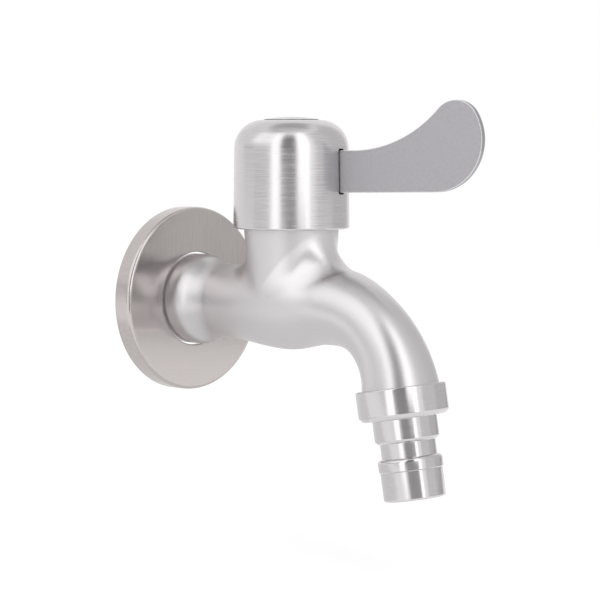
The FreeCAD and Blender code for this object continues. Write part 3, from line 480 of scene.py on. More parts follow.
def rod(radius, start, end, steps=BORE_STEPS):
    """A plain rod between two places."""
    bm = bmesh.new()
    way = end - start
    place = Matrix.Translation((start + end) / 2) @ way.to_track_quat("Z", "Y").to_matrix().to_4x4()
    bmesh.ops.create_cone(bm, cap_ends=True, segments=steps, radius1=radius, radius2=radius, depth=way.length,
                          matrix=place)
    return bm


def bent_rod():
    """The spout's bore along the middle line, from the ball's chamber to past the end."""
    places = [station(x, SPOUT_RISE, 0.0, OUTLET_BORE) for x in (CHAMBER_END - CUT_PAST, BEND_X)]
    places += [bend_station(share, OUTLET_BORE) for share in np.linspace(0, BORE_PAST, BORE_RINGS + 1)[1:]]
    return extruded(places)


outlet_thread = rod(OUTLET_THREAD, SPOUT_END_PLACE - SPOUT_WAY * OUTLET_THREAD_ROOT,
                    SPOUT_END_PLACE + SPOUT_WAY * OUTLET_THREAD_LENGTH)
casting = bored(casting, [shank, outlet_thread], "UNION")
stem_section = [
    (0.0, 0.0),
    (STEM_BORE, 0.0),
    (STEM_BORE, POCKET_FLOOR),
    (POCKET_RADIUS, POCKET_FLOOR),
    (POCKET_RADIUS, GLAND_FLOOR),
    (GLAND_RADIUS, GLAND_FLOOR),
    (GLAND_RADIUS, ABOVE_NECK),
    (0.0, ABOVE_NECK),
]
stem_hole = turned(stem_section, steps=BORE_STEPS, closed=False)
bmesh.ops.translate(stem_hole, vec=Vector((STEM_LINE, 0, 0)), verts=stem_hole.verts)
cutters = [
    rod(INLET_BORE, Vector((THREAD_START - CUT_PAST, 0, 0)), Vector((CHAMBER_END, 0, 0))),
    bent_rod(),
    rod(OUTLET_MOUTH, SPOUT_END_PLACE, SPOUT_END_PLACE + SPOUT_WAY * (OUTLET_THREAD_LENGTH + CUT_PAST)),
    stem_hole,
]
for x, y in STOP_PINS:
    low = Vector((STEM_LINE + x, y, NECK_TOP - PIN_DEPTH))
    cutters.append(rod(PIN_RADIUS, low, low + Vector((0, 0, PIN_DEPTH + CUT_PAST)), PIN_STEPS))
casting = bored(casting, cutters)
tap_casting = finished(casting, "tap_casting", "tap", ["tap_body"], CAST_SHARP)

# %% [markdown]
# ## Wall flange
#
# The flange is pressed from thin sheet: a flat face, a wall that returns to the brickwork, and a hole
# whose rim is curled inwards so that it slips over the shank. Its section is a closed loop of the
# sheet's thickness, spun about the inlet's line.

# %% Spin the flange
FLANGE_RADIUS, FLANGE_DEPTH, SHEET = 27.2, 5.8, 0.8
FLANGE_HOLE, FLANGE_ROUND = 13.85, 1.2
LIP_ROUND, LIP_INNER_ROUND, LIP_EDGE = 1.0, 0.98, 0.35


def along_inlet(bm):
    """Lays a piece turned about the upright on to the inlet's line."""
    bmesh.ops.rotate(bm, cent=(0, 0, 0), matrix=Matrix.Rotation(math.pi / 2, 3, "Y"), verts=bm.verts)
    return bm


flange_section = [
    (FLANGE_RADIUS, 0.0),
    (FLANGE_RADIUS - SHEET, 0.0),
    (FLANGE_RADIUS - SHEET, FLANGE_DEPTH - SHEET),
    (FLANGE_HOLE + SHEET, FLANGE_DEPTH - SHEET),
    (FLANGE_HOLE + SHEET, FLANGE_DEPTH - SHEET - LIP_ROUND),
    (FLANGE_HOLE, FLANGE_DEPTH - SHEET - LIP_ROUND),
    (FLANGE_HOLE, FLANGE_DEPTH),
    (FLANGE_RADIUS, FLANGE_DEPTH),
]
flange_rounds = [(2, FLANGE_ROUND - SHEET), (3, LIP_INNER_ROUND), (6, LIP_EDGE), (7, FLANGE_ROUND)]
flange = along_inlet(turned(flange_section, flange_rounds, steps=192))
wall_flange_piece = finished(flange, "pressed_flange", "flange", ["wall_flange"])

# %% [markdown]
# ## Domed cap and index button
#
# The cap is a thick cup with a generous top corner, turned and then brushed round. The slot for the
# lever is milled through its wall, a little wider than the plate, so a dark line shows beside it. The
# button sits in a recess in the top, stands a little proud and is undercut, so a thin shade lies under it.

# %% Turn the cap and mill its slot
REST_TURN = math.radians(12.0)
CAP_BASE, CAP_HEIGHT = 22.0, 30.6
CAP_RADIUS, CAP_UPPER, CAP_DRAFT = 16.5, 16.05, 0.13
CAP_CORNER, CORNER_EASE = 8.1, 0.2
MOUTH_ROUND, RIM_ROUND, RECESS_EDGE = 0.3, 0.5, 0.1
CAP_CAVITY, CAVITY_HEIGHT = 14.4, 23.4
CEILING_RADIUS, CEILING_HEIGHT = 9.5, 26.8
RECESS_RADIUS, RECESS_DEPTH, SCREW_HOLE = 7.95, 2.0, 6.5
BLADE_LOW, BLADE_ROOT, PLATE = 10.2, 11.9, 2.0
SLOT_GAP_SIDE, SLOT_GAP_END = 0.42, 0.45
SLOT_CORNER, SLOT_DEPTH = 0.5, 6.0

cap_section = [
    (CAP_CAVITY, 0.0),
    (CAP_RADIUS, 0.0),
    (CAP_UPPER + CAP_DRAFT, CAP_HEIGHT - CAP_CORNER),
    (CAP_UPPER, CAP_HEIGHT),
    (RECESS_RADIUS, CAP_HEIGHT),
    (RECESS_RADIUS, CAP_HEIGHT - RECESS_DEPTH),
    (SCREW_HOLE, CAP_HEIGHT - RECESS_DEPTH),
    (SCREW_HOLE, CEILING_HEIGHT),
    (CEILING_RADIUS, CEILING_HEIGHT),
    (CAP_CAVITY, CAVITY_HEIGHT),
]
cap_rounds = [(0, MOUTH_ROUND), (1, RIM_ROUND), (3, CAP_CORNER - CORNER_EASE), (4, RECESS_EDGE)]
cap = turned(cap_section, cap_rounds, steps=192, round_steps=14)
slot_cutter = bmesh.new()
bmesh.ops.create_cube(slot_cutter, size=1.0)
slot_size = Vector((SLOT_DEPTH, PLATE + 2 * SLOT_GAP_SIDE, BLADE_ROOT + 2 * SLOT_GAP_END))
bmesh.ops.scale(slot_cutter, vec=slot_size, verts=slot_cutter.verts)
slot_sides = [edge for edge in slot_cutter.edges if abs(edge.verts[0].co.x - edge.verts[1].co.x) > 1.0]
bmesh.ops.bevel(slot_cutter, geom=slot_sides, offset=SLOT_CORNER, offset_type="OFFSET", segments=4, profile=0.5,
                affect="EDGES", material=-1)
bmesh.ops.translate(slot_cutter, vec=Vector((CAP_RADIUS, 0, BLADE_LOW + BLADE_ROOT / 2)), verts=slot_cutter.verts)
cap = bored(cap, [slot_cutter])


def on_stem(bm, height):
    """Turns a handle piece to the lever's rest and puts it on the stem's line."""
    bmesh.ops.rotate(bm, cent=(0, 0, 0), matrix=Matrix.Rotation(REST_TURN, 3, "Z"), verts=bm.verts)
    bmesh.ops.translate(bm, vec=Vector((STEM_LINE, 0, height)), verts=bm.verts)
    return bm


cap_piece = finished(on_stem(cap, CAP_BASE), "brushed_cap", "handle", ["handle_dome"])

# %% Turn the index button
BUTTON_RADIUS, BUTTON_RIM, BUTTON_CROWN = 7.8, 2.0, 0.72
BUTTON_LIFT, UNDERCUT, BUTTON_EDGE = 0.18, 0.2, 0.08
STUB_RADIUS, STUB_LENGTH, FOOT_GAP = 6.0, 1.4, 0.05
CROWN_STEPS = 12
crown_round = (BUTTON_RADIUS ** 2 + BUTTON_CROWN ** 2) / (2 * BUTTON_CROWN)
button_foot = FOOT_GAP - BUTTON_RIM
button_section = [
    (0.0, button_foot - STUB_LENGTH),
    (STUB_RADIUS, button_foot - STUB_LENGTH),
    (STUB_RADIUS, button_foot),
    (BUTTON_RADIUS, button_foot),
    (BUTTON_RADIUS, -2 * UNDERCUT),
    (BUTTON_RADIUS - UNDERCUT, -UNDERCUT / 2),
]
edge_corner = len(button_section)
for step in range(CROWN_STEPS + 1):
    reach = BUTTON_RADIUS * (1 - step / CROWN_STEPS)
    arch = math.sqrt(crown_round ** 2 - reach ** 2) - crown_round
    button_section.append((reach, BUTTON_LIFT + BUTTON_CROWN + arch))
button = turned(button_section, [(edge_corner, BUTTON_EDGE)], steps=128, closed=False, round_steps=3)
button_piece = finished(on_stem(button, CAP_BASE + CAP_HEIGHT), "cap_button", "handle", ["index_button"])

# %% [markdown]
# ## Lever blade
#
# The lever is cut from 2 mm plate in one outline: straight where it leaves the cap, swept up, round at
# the thumb end, and back along a long heel. Each arc is a vertex spun about its centre, the arcs are
# joined into one loop, and the filled loop is extruded by the plate's thickness. A fine bevel, with a
# brighter steel of its own, gives the cut edge the light line that it has on the real one.

# %% Cut the blade
STRAIGHT_END, SWEEP, TIP = 20.3, 36.4, 7.0
SWEEP_TURN, TIP_TURN, BLADE_LEAN = math.radians(46.6), math.radians(104.6), math.radians(1.0)
TONGUE_START, TONGUE_END, TONGUE_LIFT, TONGUE_HEIGHT = 14.1, 4.7, 2.2, 8.8
EDGE_BEVEL, JOINED = 0.2, 1e-3
HEEL_STEPS, TIP_STEPS, SWEEP_STEPS = 72, 40, 48
down = TIP_TURN - SWEEP_TURN
rise_x = STRAIGHT_END + SWEEP * math.sin(SWEEP_TURN)
rise_z = BLADE_ROOT + SWEEP * (1 - math.cos(SWEEP_TURN))
tip_middle = (rise_x + TIP * math.sin(SWEEP_TURN), rise_z - TIP * math.cos(SWEEP_TURN))
crown_x = tip_middle[0] + TIP * math.sin(down)
crown_z = tip_middle[1] + TIP * math.cos(down)
leant_height = crown_z * math.cos(BLADE_LEAN) - (crown_x - TONGUE_START) * math.sin(BLADE_LEAN)
heel = leant_height / (1 + math.cos(down + BLADE_LEAN))
heel_middle = (crown_x - heel * math.sin(down), crown_z - heel * math.cos(down))


def spun_arc(bm, start, middle, angle, steps):
    """A chain of points: one vertex spun about a centre in the blade's plane."""
    first = bm.verts.new((start[0], 0.0, start[1]))
    before = len(bm.verts)
    bmesh.ops.spin(bm, geom=[first], cent=(middle[0], 0.0, middle[1]), axis=(0, 1, 0), angle=angle, steps=steps)
    bm.verts.ensure_lookup_table()
    return [first, *bm.verts[before:]]


blade = bmesh.new()
outline = [blade.verts.new((x, 0.0, z)) for x, z in (
    (TONGUE_START, TONGUE_LIFT + TONGUE_HEIGHT), (TONGUE_END, TONGUE_LIFT + TONGUE_HEIGHT),
    (TONGUE_END, TONGUE_LIFT), (TONGUE_START, TONGUE_LIFT), (TONGUE_START, 0.0))]
heel_end = (heel_middle[0] + heel * math.sin(BLADE_LEAN), heel_middle[1] - heel * math.cos(BLADE_LEAN))
outline += spun_arc(blade, heel_end, heel_middle, -(math.pi - down - BLADE_LEAN), HEEL_STEPS)
outline += spun_arc(blade, (crown_x, crown_z), tip_middle, -TIP_TURN, TIP_STEPS)[1:]
outline += spun_arc(blade, (rise_x, rise_z), (STRAIGHT_END, BLADE_ROOT + SWEEP), SWEEP_TURN, SWEEP_STEPS)[1:]
outline.append(blade.verts.new((TONGUE_START, 0.0, BLADE_ROOT)))
for first, last in zip(outline, outline[1:] + outline[:1]):
    if blade.edges.get((first, last)) is None:
        blade.edges.new((first, last))
bmesh.ops.remove_doubles(blade, verts=blade.verts, dist=JOINED)
plate = bmesh.ops.contextual_create(blade, geom=blade.edges[:])["faces"]
pushed = bmesh.ops.extrude_face_region(blade, geom=plate)["geom"]
bmesh.ops.translate(blade, vec=Vector((0, PLATE, 0)), verts=[v for v in pushed if isinstance(v, bmesh.types.BMVert)])
bmesh.ops.translate(blade, vec=Vector((0, -PLATE / 2, 0)), verts=blade.verts)
bmesh.ops.recalc_face_normals(blade, faces=blade.faces)
rims = [edge for edge in blade.edges if abs(edge.verts[0].co.y - edge.verts[1].co.y) < CLOSE]
broken = bmesh.ops.bevel(blade, geom=rims, offset=EDGE_BEVEL, offset_type="OFFSET", segments=2, profile=0.5,
                         affect="EDGES", material=-1)["faces"]
for face in broken:
    face.material_index = 1
print("blade reach", round(max(v.co.x for v in blade.verts), 2), "top", round(max(v.co.z for v in blade.verts), 2),
      "low", round(min(v.co.z for v in blade.verts), 2))
blade_piece = finished(on_stem(blade, CAP_BASE + BLADE_LOW), "lever_plate", "handle", ["lever_blade"])

# %% [markdown]
# ## Hose tail
#
# One turned piece: a ring that screws over the spout, a step, a groove for a clip, a flare, a small
# ridge and the tail itself. The corners are left nearly sharp with a tiny break, because that thin
# light line is what shows that it was turned. It is spun upright and then leant to the spout's end.

# %% Turn the hose tail
RING_RADIUS, RING_LENGTH, RING_CHAMFER = 12.4, 8.4, 1.1
RING_SOCKET, RING_FLOOR, TAIL_BORE = 10.15, -6.9, 6.2
STEP_RADIUS, STEP_END, STEP_CHAMFER = 8.85, 14.8, 0.7
CLIP_RADIUS, CLIP_END = 7.6, 18.9
RIDGE_END, RIDGE_STEP = 22.6, 0.3
TAIL_RADIUS, TAIL_END = 8.5, 30.5
RING_ROUND, CHAMFER_ROUND, CORNER_ROUND = 0.4, 0.3, 0.15
STEP_ROUND, CLIP_ROUND, FLARE_ROUND, TIP_ROUND = 0.25, 0.1, 1.15, 0.6
tail_section = [
    (RING_SOCKET, 0.0),
    (RING_RADIUS, 0.0),
    (RING_RADIUS, RING_CHAMFER - RING_LENGTH),
    (RING_RADIUS - RING_CHAMFER, -RING_LENGTH),
    (STEP_RADIUS, -RING_LENGTH),
    (STEP_RADIUS, STEP_CHAMFER - STEP_END),
    (STEP_RADIUS - STEP_CHAMFER, -STEP_END),
    (CLIP_RADIUS, -STEP_END),
    (CLIP_RADIUS, -CLIP_END),
    (STEP_RADIUS, -CLIP_END),
    (STEP_RADIUS, RIDGE_STEP - RIDGE_END),
    (TAIL_RADIUS, -RIDGE_END),
    (TAIL_RADIUS, -TAIL_END),
    (TAIL_BORE, -TAIL_END),
    (TAIL_BORE, RING_FLOOR),
    (RING_SOCKET, RING_FLOOR),
]
tail_rounds = [(1, RING_ROUND), (2, CHAMFER_ROUND), (3, CHAMFER_ROUND), (4, CORNER_ROUND), (5, STEP_ROUND),
               (7, CLIP_ROUND), (9, FLARE_ROUND), (12, TIP_ROUND), (13, CORNER_ROUND)]
tail = turned(tail_section, tail_rounds, steps=176, round_steps=4)
bmesh.ops.rotate(tail, cent=(0, 0, 0), matrix=Matrix.Rotation(BEND_TURN - math.pi / 2, 3, "Y"), verts=tail.verts)
bmesh.ops.translate(tail, vec=SPOUT_END_PLACE, verts=tail.verts)
tail_piece = finished(tail, "turned_hose_tail", "tap", ["hose_nozzle"])

# %% [markdown]
# ## Finishes
#
# All the steel is one metal with different surfaces. A finish is a metallic shader whose roughness and
# bump come from noise in the piece's own place: stretched thin noise is brushing, and round fine noise
# is blasting or casting grain. The same noise changes the tone a little. It could be painted, but a
# procedure stays sharp at any distance and needs no picture.

# %% Read noise in a piece's own place
NOISE_DETAIL = 4.0
NOISE_LOW, NOISE_HIGH = 0.3, 0.7


def new_material(name):
    """A material, its nodes, its links and its shader."""
    material = bpy.data.materials.new(name)
    material.use_nodes = True
    nodes = material.node_tree.nodes
    return material, nodes, material.node_tree.links, nodes["Principled BSDF"]


def noise_at(nodes, links, scale, turn):
    """Noise read in the piece's own place, stretched by a scale for each way; scales are per metre."""
    place = nodes.new("ShaderNodeTexCoord")
    mapping = nodes.new("ShaderNodeMapping")
    mapping.inputs["Scale"].default_value = scale
    mapping.inputs["Rotation"].default_value = turn
    noise = nodes.new("ShaderNodeTexNoise")
    noise.inputs["Scale"].default_value = 1.0
    noise.inputs["Detail"].default_value = NOISE_DETAIL
    links.new(place.outputs["Object"], mapping.inputs["Vector"])
    links.new(mapping.outputs["Vector"], noise.inputs["Vector"])
    return noise.outputs["Fac"]


def ranged(nodes, links, value, low, high):
    """Spreads a noise value over a range."""
    spread = nodes.new("ShaderNodeMapRange")
    spread.inputs["From Min"].default_value = NOISE_LOW
    spread.inputs["From Max"].default_value = NOISE_HIGH
    spread.inputs["To Min"].default_value = low
    spread.inputs["To Max"].default_value = high
    links.new(value, spread.inputs["Value"])
    return spread.outputs["Result"]


# %% Mix a metal finish
def steel(name, tone, rough, grain, depth, streak=0.06, turn=(0.0, 0.0, 0.0), spread=0.03, metallic=1.0):
    """A finish: grain is the noise's scale for each way, depth its bump in millimetres."""
    material, nodes, links, shader = new_material(name)
    shader.inputs["Metallic"].default_value = metallic
    fine = noise_at(nodes, links, grain, turn)
    links.new(ranged(nodes, links, fine, rough - spread, rough + spread), shader.inputs["Roughness"])
    mix = nodes.new("ShaderNodeMix")
    mix.data_type = "RGBA"
    mix.inputs["A"].default_value = (*(value * (1 - streak) for value in tone), 1.0)
    mix.inputs["B"].default_value = (*(min(1.0, value * (1 + streak)) for value in tone), 1.0)
    links.new(ranged(nodes, links, fine, 0.0, 1.0), mix.inputs["Factor"])
    links.new(mix.outputs["Result"], shader.inputs["Base Color"])
    bump = nodes.new("ShaderNodeBump")
    bump.inputs["Strength"].default_value = 1.0
    bump.inputs["Distance"].default_value = depth * MILLIMETRE
    links.new(fine, bump.inputs["Height"])
    links.new(bump.outputs["Normal"], shader.inputs["Normal"])
    return material


def moulded(name, tone, rough, grain, depth):
    """A moulded plastic or rubber finish."""
    return steel(name, tone, rough, (grain,) * 3, depth, metallic=0.0)


# %% Mix each finish of the tap
finishes = {
    "cast": steel("polished_cast_steel_painted_highlight", (0.64, 0.62, 0.63), 0.33, (2600.0, 2600.0, 2600.0), 0.00012, streak=0.02,
                  spread=0.02),
    "cap": steel("round_brushed_steel", (0.62, 0.60, 0.61), 0.24, (120.0, 120.0, 3000.0), 0.0008, streak=0.05,
                 spread=0.04),
    "plate": steel("blasted_plate_steel", (0.42, 0.41, 0.43), 0.48, (2200.0, 2200.0, 2200.0), 0.012),
    "flange": steel("upright_brushed_steel", (0.55, 0.51, 0.50), 0.19, (600.0, 3000.0, 160.0), 0.0009, streak=0.04,
                    spread=0.03),
    "tail": steel("bright_turned_steel", (0.62, 0.60, 0.61), 0.16, (160.0, 160.0, 4200.0), 0.0005, streak=0.03,
                  turn=(0.0, BEND_TURN - math.pi / 2, 0.0)),
    "bright": steel("bright_pin_steel", (0.66, 0.66, 0.67), 0.22, (900.0, 900.0, 3000.0), 0.003),
    "chrome": steel("polished_ball_chrome", (0.72, 0.73, 0.75), 0.08, (1200.0, 1200.0, 1200.0), 0.001, spread=0.02),
    "brass": steel("gland_brass", (0.70, 0.52, 0.25), 0.28, (300.0, 300.0, 2600.0), 0.004),
    "seat": moulded("seat_plastic", (0.82, 0.82, 0.79), 0.35, 1800.0, 0.004),
    "rubber": moulded("seal_rubber", (0.025, 0.025, 0.027), 0.6, 2600.0, 0.008),
}
print("finishes:", len(finishes))

# %% [markdown]
# ## Polish and satin on one casting
#
# The casting isn't finished alike all over. The grinder reaches the hollow towards the spout and leaves
# it smooth, while the neck and the belly stay satin. The hollow's colour is also painted lighter, as a
# painted highlight. A mask for each zone could be painted, but the limits are nearly straight lines seen
# from the side, so each one is a soft step along a direction, and the steps are multiplied into zones.
# The flange is brushed upright, which smears what it reflects sideways: that is the shader's
# anisotropy, with the smear's way as its tangent.

# %% Set out the zones
POLISH_START_WAY, POLISH_START = (1.0, 0.0, -0.87), (38.4, 40.2)
POLISH_FOOT_WAY, POLISH_FOOT = (0.49, 0.0, 1.0), (26.0, 33.0)
ALONG_RUN, SATIN_START, POLISH_END = (1.0, 0.0, 0.0), (30.0, 39.0), (52.0, 66.0)
SATIN_EXTRA, LOST_IN_POLISH = 0.14, 0.25
# The hollow's colour is lifted to this lighter tone as a painted highlight.
HOLLOW_PAINTED_HIGHLIGHT_TONE = (0.78, 0.76, 0.77)
FLANGE_SMEAR, SMEAR_WAY = 0.8, (0.0, 1.0, 0.0)
print("satin from", SATIN_START[0], "mm along the run, and no polish past", POLISH_END[1], "mm")


def edge_between(nodes, links, way, start, end, falling=False):
    """A soft step from 0 to 1 between two distances along a way, in millimetres from the origin."""
    place = nodes.new("ShaderNodeTexCoord")
    along = nodes.new("ShaderNodeVectorMath")
    along.operation = "DOT_PRODUCT"
    along.inputs[1].default_value = way
    step = nodes.new("ShaderNodeMapRange")
    step.interpolation_type = "SMOOTHSTEP"
    step.inputs["From Min"].default_value = start * MILLIMETRE
    step.inputs["From Max"].default_value = end * MILLIMETRE
    step.inputs["To Min"].default_value = 1.0 if falling else 0.0
    step.inputs["To Max"].default_value = 0.0 if falling else 1.0
    links.new(place.outputs["Object"], along.inputs[0])
    links.new(along.outputs["Value"], step.inputs["Value"])
    return step.outputs["Result"]


def combined(nodes, links, kind, first, second):
    """One number made from two by a plain sum, product or the like."""
    math_node = nodes.new("ShaderNodeMath")
    math_node.operation = kind
    for socket, value in zip(math_node.inputs, (first, second)):
        if isinstance(value, float):
            socket.default_value = value
        else:
            links.new(value, socket)
    return math_node.outputs["Value"]


# %% Polish the hollow, paint a highlight on it and brush the flange
def satin_polish_and_painted_highlight(material):
    """Leaves the neck and the belly satin, and the hollow towards the spout polished, with a painted highlight that
    lightens its colour.
    """
    nodes, links = material.node_tree.nodes, material.node_tree.links
    shader = nodes["Principled BSDF"]
    past_slant = edge_between(nodes, links, POLISH_START_WAY, *POLISH_START)
    above_belly = edge_between(nodes, links, POLISH_FOOT_WAY, *POLISH_FOOT)
    # This mask marks the hollow: it lowers the roughness there and also carries the painted highlight.
    polished = combined(nodes, links, "MULTIPLY", past_slant, above_belly)
    satin = combined(nodes, links, "SUBTRACT", 1.0, combined(nodes, links, "MULTIPLY", polished, LOST_IN_POLISH))
    past_barrel = edge_between(nodes, links, ALONG_RUN, *SATIN_START)
    before_spout = edge_between(nodes, links, ALONG_RUN, *POLISH_END, falling=True)
    zone = combined(nodes, links, "MULTIPLY", combined(nodes, links, "MULTIPLY", past_barrel, before_spout), satin)
    plain_rough = shader.inputs["Roughness"].links[0].from_socket
    rough = combined(nodes, links, "ADD", plain_rough, combined(nodes, links, "MULTIPLY", zone, SATIN_EXTRA))
    links.new(rough, shader.inputs["Roughness"])
    # Painted highlight: the hollow's colour is mixed towards a lighter tone.
    bright = nodes.new("ShaderNodeMix")
    bright.data_type = "RGBA"
    bright.inputs["B"].default_value = (*HOLLOW_PAINTED_HIGHLIGHT_TONE, 1.0)
    links.new(combined(nodes, links, "MULTIPLY", polished, before_spout), bright.inputs["Factor"])
    links.new(shader.inputs["Base Color"].links[0].from_socket, bright.inputs["A"])
    links.new(bright.outputs["Result"], shader.inputs["Base Color"])


def brushed_one_way(material, amount, across):
    """Stretches what a brushed face reflects along a way, which lies across the brushing."""
    nodes, links = material.node_tree.nodes, material.node_tree.links
    shader = nodes["Principled BSDF"]
    shader.inputs["Anisotropic"].default_value = amount
    way = nodes.new("ShaderNodeCombineXYZ")
    for socket, value in zip(way.inputs, across):
        socket.default_value = value
    links.new(way.outputs["Vector"], shader.inputs["Tangent"])


satin_polish_and_painted_highlight(finishes["cast"])
brushed_one_way(finishes["flange"], FLANGE_SMEAR, SMEAR_WAY)
for piece, finish in ((tap_casting, "cast"), (wall_flange_piece, "flange"), (cap_piece, "cap"), (button_piece, "cap"),
                      (blade_piece, "plate"), (tail_piece, "tail")):
    piece.data.materials.append(finishes[finish])
blade_piece.data.materials.append(finishes["bright"])
print("blade's finishes:", [material.name for material in blade_piece.data.materials])

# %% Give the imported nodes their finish
node_finishes = {
    "chrome": ["valve_ball"],
    "brass": ["seat_retainer", "gland_nut"],
    "seat": ["inlet_seat", "outlet_seat", "thrust_washer", "friction_washer"],
    "rubber": ["retainer_o_ring", "stem_o_rings", "gland_nut_o_ring", "nozzle_gasket"],
    "bright": ["valve_stem", "handle_hub", "lever_pins", "stop_pins", "stop_washer", "screw_washer", "handle_screw"],
    "cast": ["tap_body"],
    "flange": ["wall_flange"],
    "cap": ["handle_dome", "index_button"],
    "plate": ["lever_blade"],
    "tail": ["hose_nozzle"],
}
for finish, names in node_finishes.items():
    for node in names:
        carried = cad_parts[node]
        if not carried.material_slots:
            carried.data.materials.append(finishes[finish])
        for slot in carried.material_slots:
            slot.material = finishes[finish]
print("nodes finished:", sum(len(names) for names in node_finishes.values()))

# %% [markdown]
# ## Floor, light and background
#
# Metal shows what stands round it, so the light is a pale tent: the white background is in every
# reflection, two tall bright panels stand either side of the camera, and the dark gap between them
# gives the dark stripe down the middle of each round part. Grey panels at the sides and overhead keep
# the flanks from burning out, and thin dim ones between them draw the soft shade on rounded corners.
# The panels are pieces of large balls round the tap, because a patch of a ball is set by the angles at
# which the metal sees it, whatever its height. What the camera, a reflection or clear glass sees of the
# background is plain white, and the light that falls on the tap is a little less.

# %% Lay the floor
FLOOR_DROP, FLOOR_HALF = 0.022, 6.0
FLOOR_TONE, FLOOR_ROUGH, FLOOR_GLOW = 0.90, 0.9, 0.16
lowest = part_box("hose_nozzle")[0].z


def staged(bm, name, material):
    """A piece of the studio, which isn't part of the tap."""
    mesh = bpy.data.meshes.new(name)
    bm.to_mesh(mesh)
    bm.free()
    mesh.materials.append(material)
    item = bpy.data.objects.new(name, mesh)
    scene.collection.objects.link(item)
    return item


floor_paint, nodes, links, shader = new_material("pale_floor")
shader.inputs["Base Color"].default_value = (FLOOR_TONE, FLOOR_TONE, FLOOR_TONE, 1.0)
shader.inputs["Roughness"].default_value = FLOOR_ROUGH
shader.inputs["Specular IOR Level"].default_value = 0.0
shader.inputs["Emission Color"].default_value = (1.0, 1.0, 1.0, 1.0)
shader.inputs["Emission Strength"].default_value = FLOOR_GLOW
floor_mesh = bmesh.new()
bmesh.ops.create_grid(floor_mesh, x_segments=1, y_segments=1, size=FLOOR_HALF,
                      matrix=Matrix.Translation((0, 0, lowest - FLOOR_DROP)))
staged(floor_mesh, "floor", floor_paint)
print("floor at", round(lowest - FLOOR_DROP, 4))

# %% Set out the panels
AIM = Vector((0.050, 0.0, 0.0))
PANELS = {
    # name: turn from the camera (first, last), rise (first, last), distance in metres, level
    "gap_top": ((-22, 9.5), (44, 57), 1.0, 0.45),
    "gap_above": ((-22, 9.5), (2, 44), 1.0, 0.20),
    "gap_below": ((-22, 9), (-4, 2), 1.0, 0.84),
    "low_card": ((-10, 28), (-13, 3), 0.33, 0.40),
    "left_strip": ((-40, -22), (-4, 64), 1.0, 1.9),
    "left_glow": ((-58, -40), (24, 58), 1.0, 1.40),
    "left_rise": ((-58, -40), (15, 24), 1.0, 1.15),
    "right_strip": ((12, 36), (-4, 64), 1.0, 2.1),
    "right_fade": ((36, 50), (-4, 64), 1.0, 1.1),
    "left_wall": ((-80, -44), (-4, 6), 1.0, 0.74),
    "left_step": ((-80, -44), (6, 14.5), 1.0, 0.92),
    "left_low": ((-110, -81), (2, 13), 1.0, 0.74),
    "left_band": ((-90, -60), (22, 55), 1.0, 1.40),
    "left_foot": ((-90, -60), (15, 22), 1.0, 1.10),
    "left_shoulder": ((-155, -90), (16, 55), 1.0, 0.94),
    "left_dusk": ((-155, -22), (64.5, 69.5), 1.0, 0.6),
    "right_wall": ((50, 88), (-7.2, 60), 0.6, 0.80),
    "side_low": ((88, 145), (-7.2, -3.4), 0.6, 0.46),
    "side_wall": ((88, 145), (-3.4, 9), 0.6, 0.68),
    "side_high": ((88, 145), (9, 60), 0.6, 0.72),
    "roof_front": ((-90, 90), (70, 89.5), 1.0, 0.80),
    "roof_back": ((90, 270), (70, 89.5), 1.0, 0.52),
    "back_roof": ((145, 204), (32, 60), 1.0, 1.0),
    "back_dusk": ((145, 204), (60.5, 69.5), 1.0, 0.45),
}
print("panels:", len(PANELS), "the brightest", max(level for *_, level in PANELS.values()))

# %% Hang the panels
PATCH_ROWS, PATCH_COLUMNS = 12, 48
CARD_PLACE, CARD_HALVES, CARD_LEVEL = (-0.06, 0.05), (0.11, 0.18), 0.86


def glow_of(name, level):
    """An even glow, counted from the white of the background."""
    glow = bpy.data.materials.new(name)
    glow.use_nodes = True
    glow.node_tree.nodes.clear()
    light = glow.node_tree.nodes.new("ShaderNodeEmission")
    light.inputs["Strength"].default_value = level
    output = glow.node_tree.nodes.new("ShaderNodeOutputMaterial")
    glow.node_tree.links.new(light.outputs["Emission"], output.inputs["Surface"])
    return glow


def reflected(item):
    """Leaves a piece of the studio to be seen in reflections alone."""
    item.visible_camera = False
    item.visible_shadow = False
    item.visible_diffuse = False
    return item


def panel(name, turns, rises, distance, level):
    """A patch of a ball round the tap that glows evenly and is seen only in reflections."""
    first, last = (math.radians(value) for value in turns)
    low, high = (math.radians(value) for value in rises)
    bm = bmesh.new()
    foot = bm.verts.new(direction(CAMERA_TURN + first, low) * distance)
    across = direction(CAMERA_TURN + first).cross(Vector((0, 0, 1)))
    bmesh.ops.spin(bm, geom=[foot], cent=(0, 0, 0), axis=across, angle=high - low, steps=PATCH_ROWS)
    bmesh.ops.spin(bm, geom=bm.verts[:] + bm.edges[:], cent=(0, 0, 0), axis=(0, 0, 1), angle=last - first,
                   steps=PATCH_COLUMNS)
    bmesh.ops.translate(bm, vec=AIM, verts=bm.verts)
    item = reflected(staged(bm, name, glow_of(name, level)))
    rise = [math.degrees(math.asin((v.co - AIM).z / distance)) for v in item.data.vertices]
    print(name, "rises from", round(min(rise)), "to", round(max(rise)), "degrees")


for name, (turns, rises, distance, level) in PANELS.items():
    panel(name, turns, rises, distance, level)
# A dim glowing card just above the floor under the tap, seen only in reflections, stands in for the shade beneath the
# tap.
back_card = bmesh.new()
card_place = Matrix.Translation((*CARD_PLACE, lowest - FLOOR_DROP / 2)) @ Matrix.Diagonal((*CARD_HALVES, 1, 1))
bmesh.ops.create_grid(back_card, x_segments=1, y_segments=1, size=1.0, matrix=card_place)
reflected(staged(back_card, "back_card", glow_of("back_card", CARD_LEVEL)))

# %% Set the lamps
BOX_WIDTH, BOX_HEIGHT, BOX_DISTANCE = 0.3, 1.2, 1.1
BOX_RISE = math.radians(25.0)


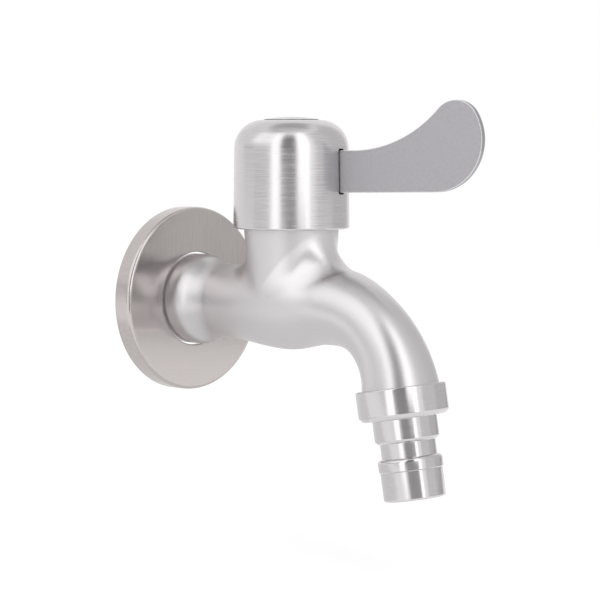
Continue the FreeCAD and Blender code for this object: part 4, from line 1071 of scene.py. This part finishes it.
def soft_box(name, degrees, power):
    """A tall soft box that faces the tap, at a turn counted from the camera."""
    way = direction(CAMERA_TURN + math.radians(degrees), BOX_RISE)
    data = bpy.data.lights.new(name, "AREA")
    data.shape = "RECTANGLE"
    data.size, data.size_y = BOX_WIDTH, BOX_HEIGHT
    data.energy = power
    lamp = bpy.data.objects.new(name, data)
    lamp.location = AIM + way * BOX_DISTANCE
    lamp.rotation_mode = "QUATERNION"
    lamp.rotation_quaternion = (-way).to_track_quat("-Z", "Y")
    lamp.visible_glossy = False
    scene.collection.objects.link(lamp)
    print(name, "gives", power, "W")


soft_box("left_box", -27.0, 1.5)
soft_box("right_box", 26.0, 2.0)

# %% Make the background white
WHITE_LEVEL, TENT_LEVEL = 1.0, 0.95

world = bpy.data.worlds.new("white_studio")
scene.world = world
world.use_nodes = True
tree = world.node_tree
tree.nodes.clear()
seen = tree.nodes.new("ShaderNodeLightPath")
either = tree.nodes.new("ShaderNodeMath")
either.operation = "MAXIMUM"
all_seen = tree.nodes.new("ShaderNodeMath")
all_seen.operation = "MAXIMUM"
white = tree.nodes.new("ShaderNodeBackground")
white.inputs["Color"].default_value = (1.0, 1.0, 1.0, 1.0)
white.inputs["Strength"].default_value = WHITE_LEVEL
lit = tree.nodes.new("ShaderNodeBackground")
lit.inputs["Color"].default_value = (1.0, 1.0, 1.0, 1.0)
lit.inputs["Strength"].default_value = TENT_LEVEL
choose = tree.nodes.new("ShaderNodeMixShader")
out = tree.nodes.new("ShaderNodeOutputWorld")
tree.links.new(seen.outputs["Is Camera Ray"], either.inputs[0])
tree.links.new(seen.outputs["Is Glossy Ray"], either.inputs[1])
tree.links.new(either.outputs["Value"], all_seen.inputs[0])
tree.links.new(seen.outputs["Is Transmission Ray"], all_seen.inputs[1])
tree.links.new(all_seen.outputs["Value"], choose.inputs["Fac"])
tree.links.new(lit.outputs["Background"], choose.inputs[1])
tree.links.new(white.outputs["Background"], choose.inputs[2])
tree.links.new(choose.outputs["Shader"], out.inputs["Surface"])
scene.view_settings.view_transform = "Standard"
print("background:", world.name, "through", scene.view_settings.view_transform)
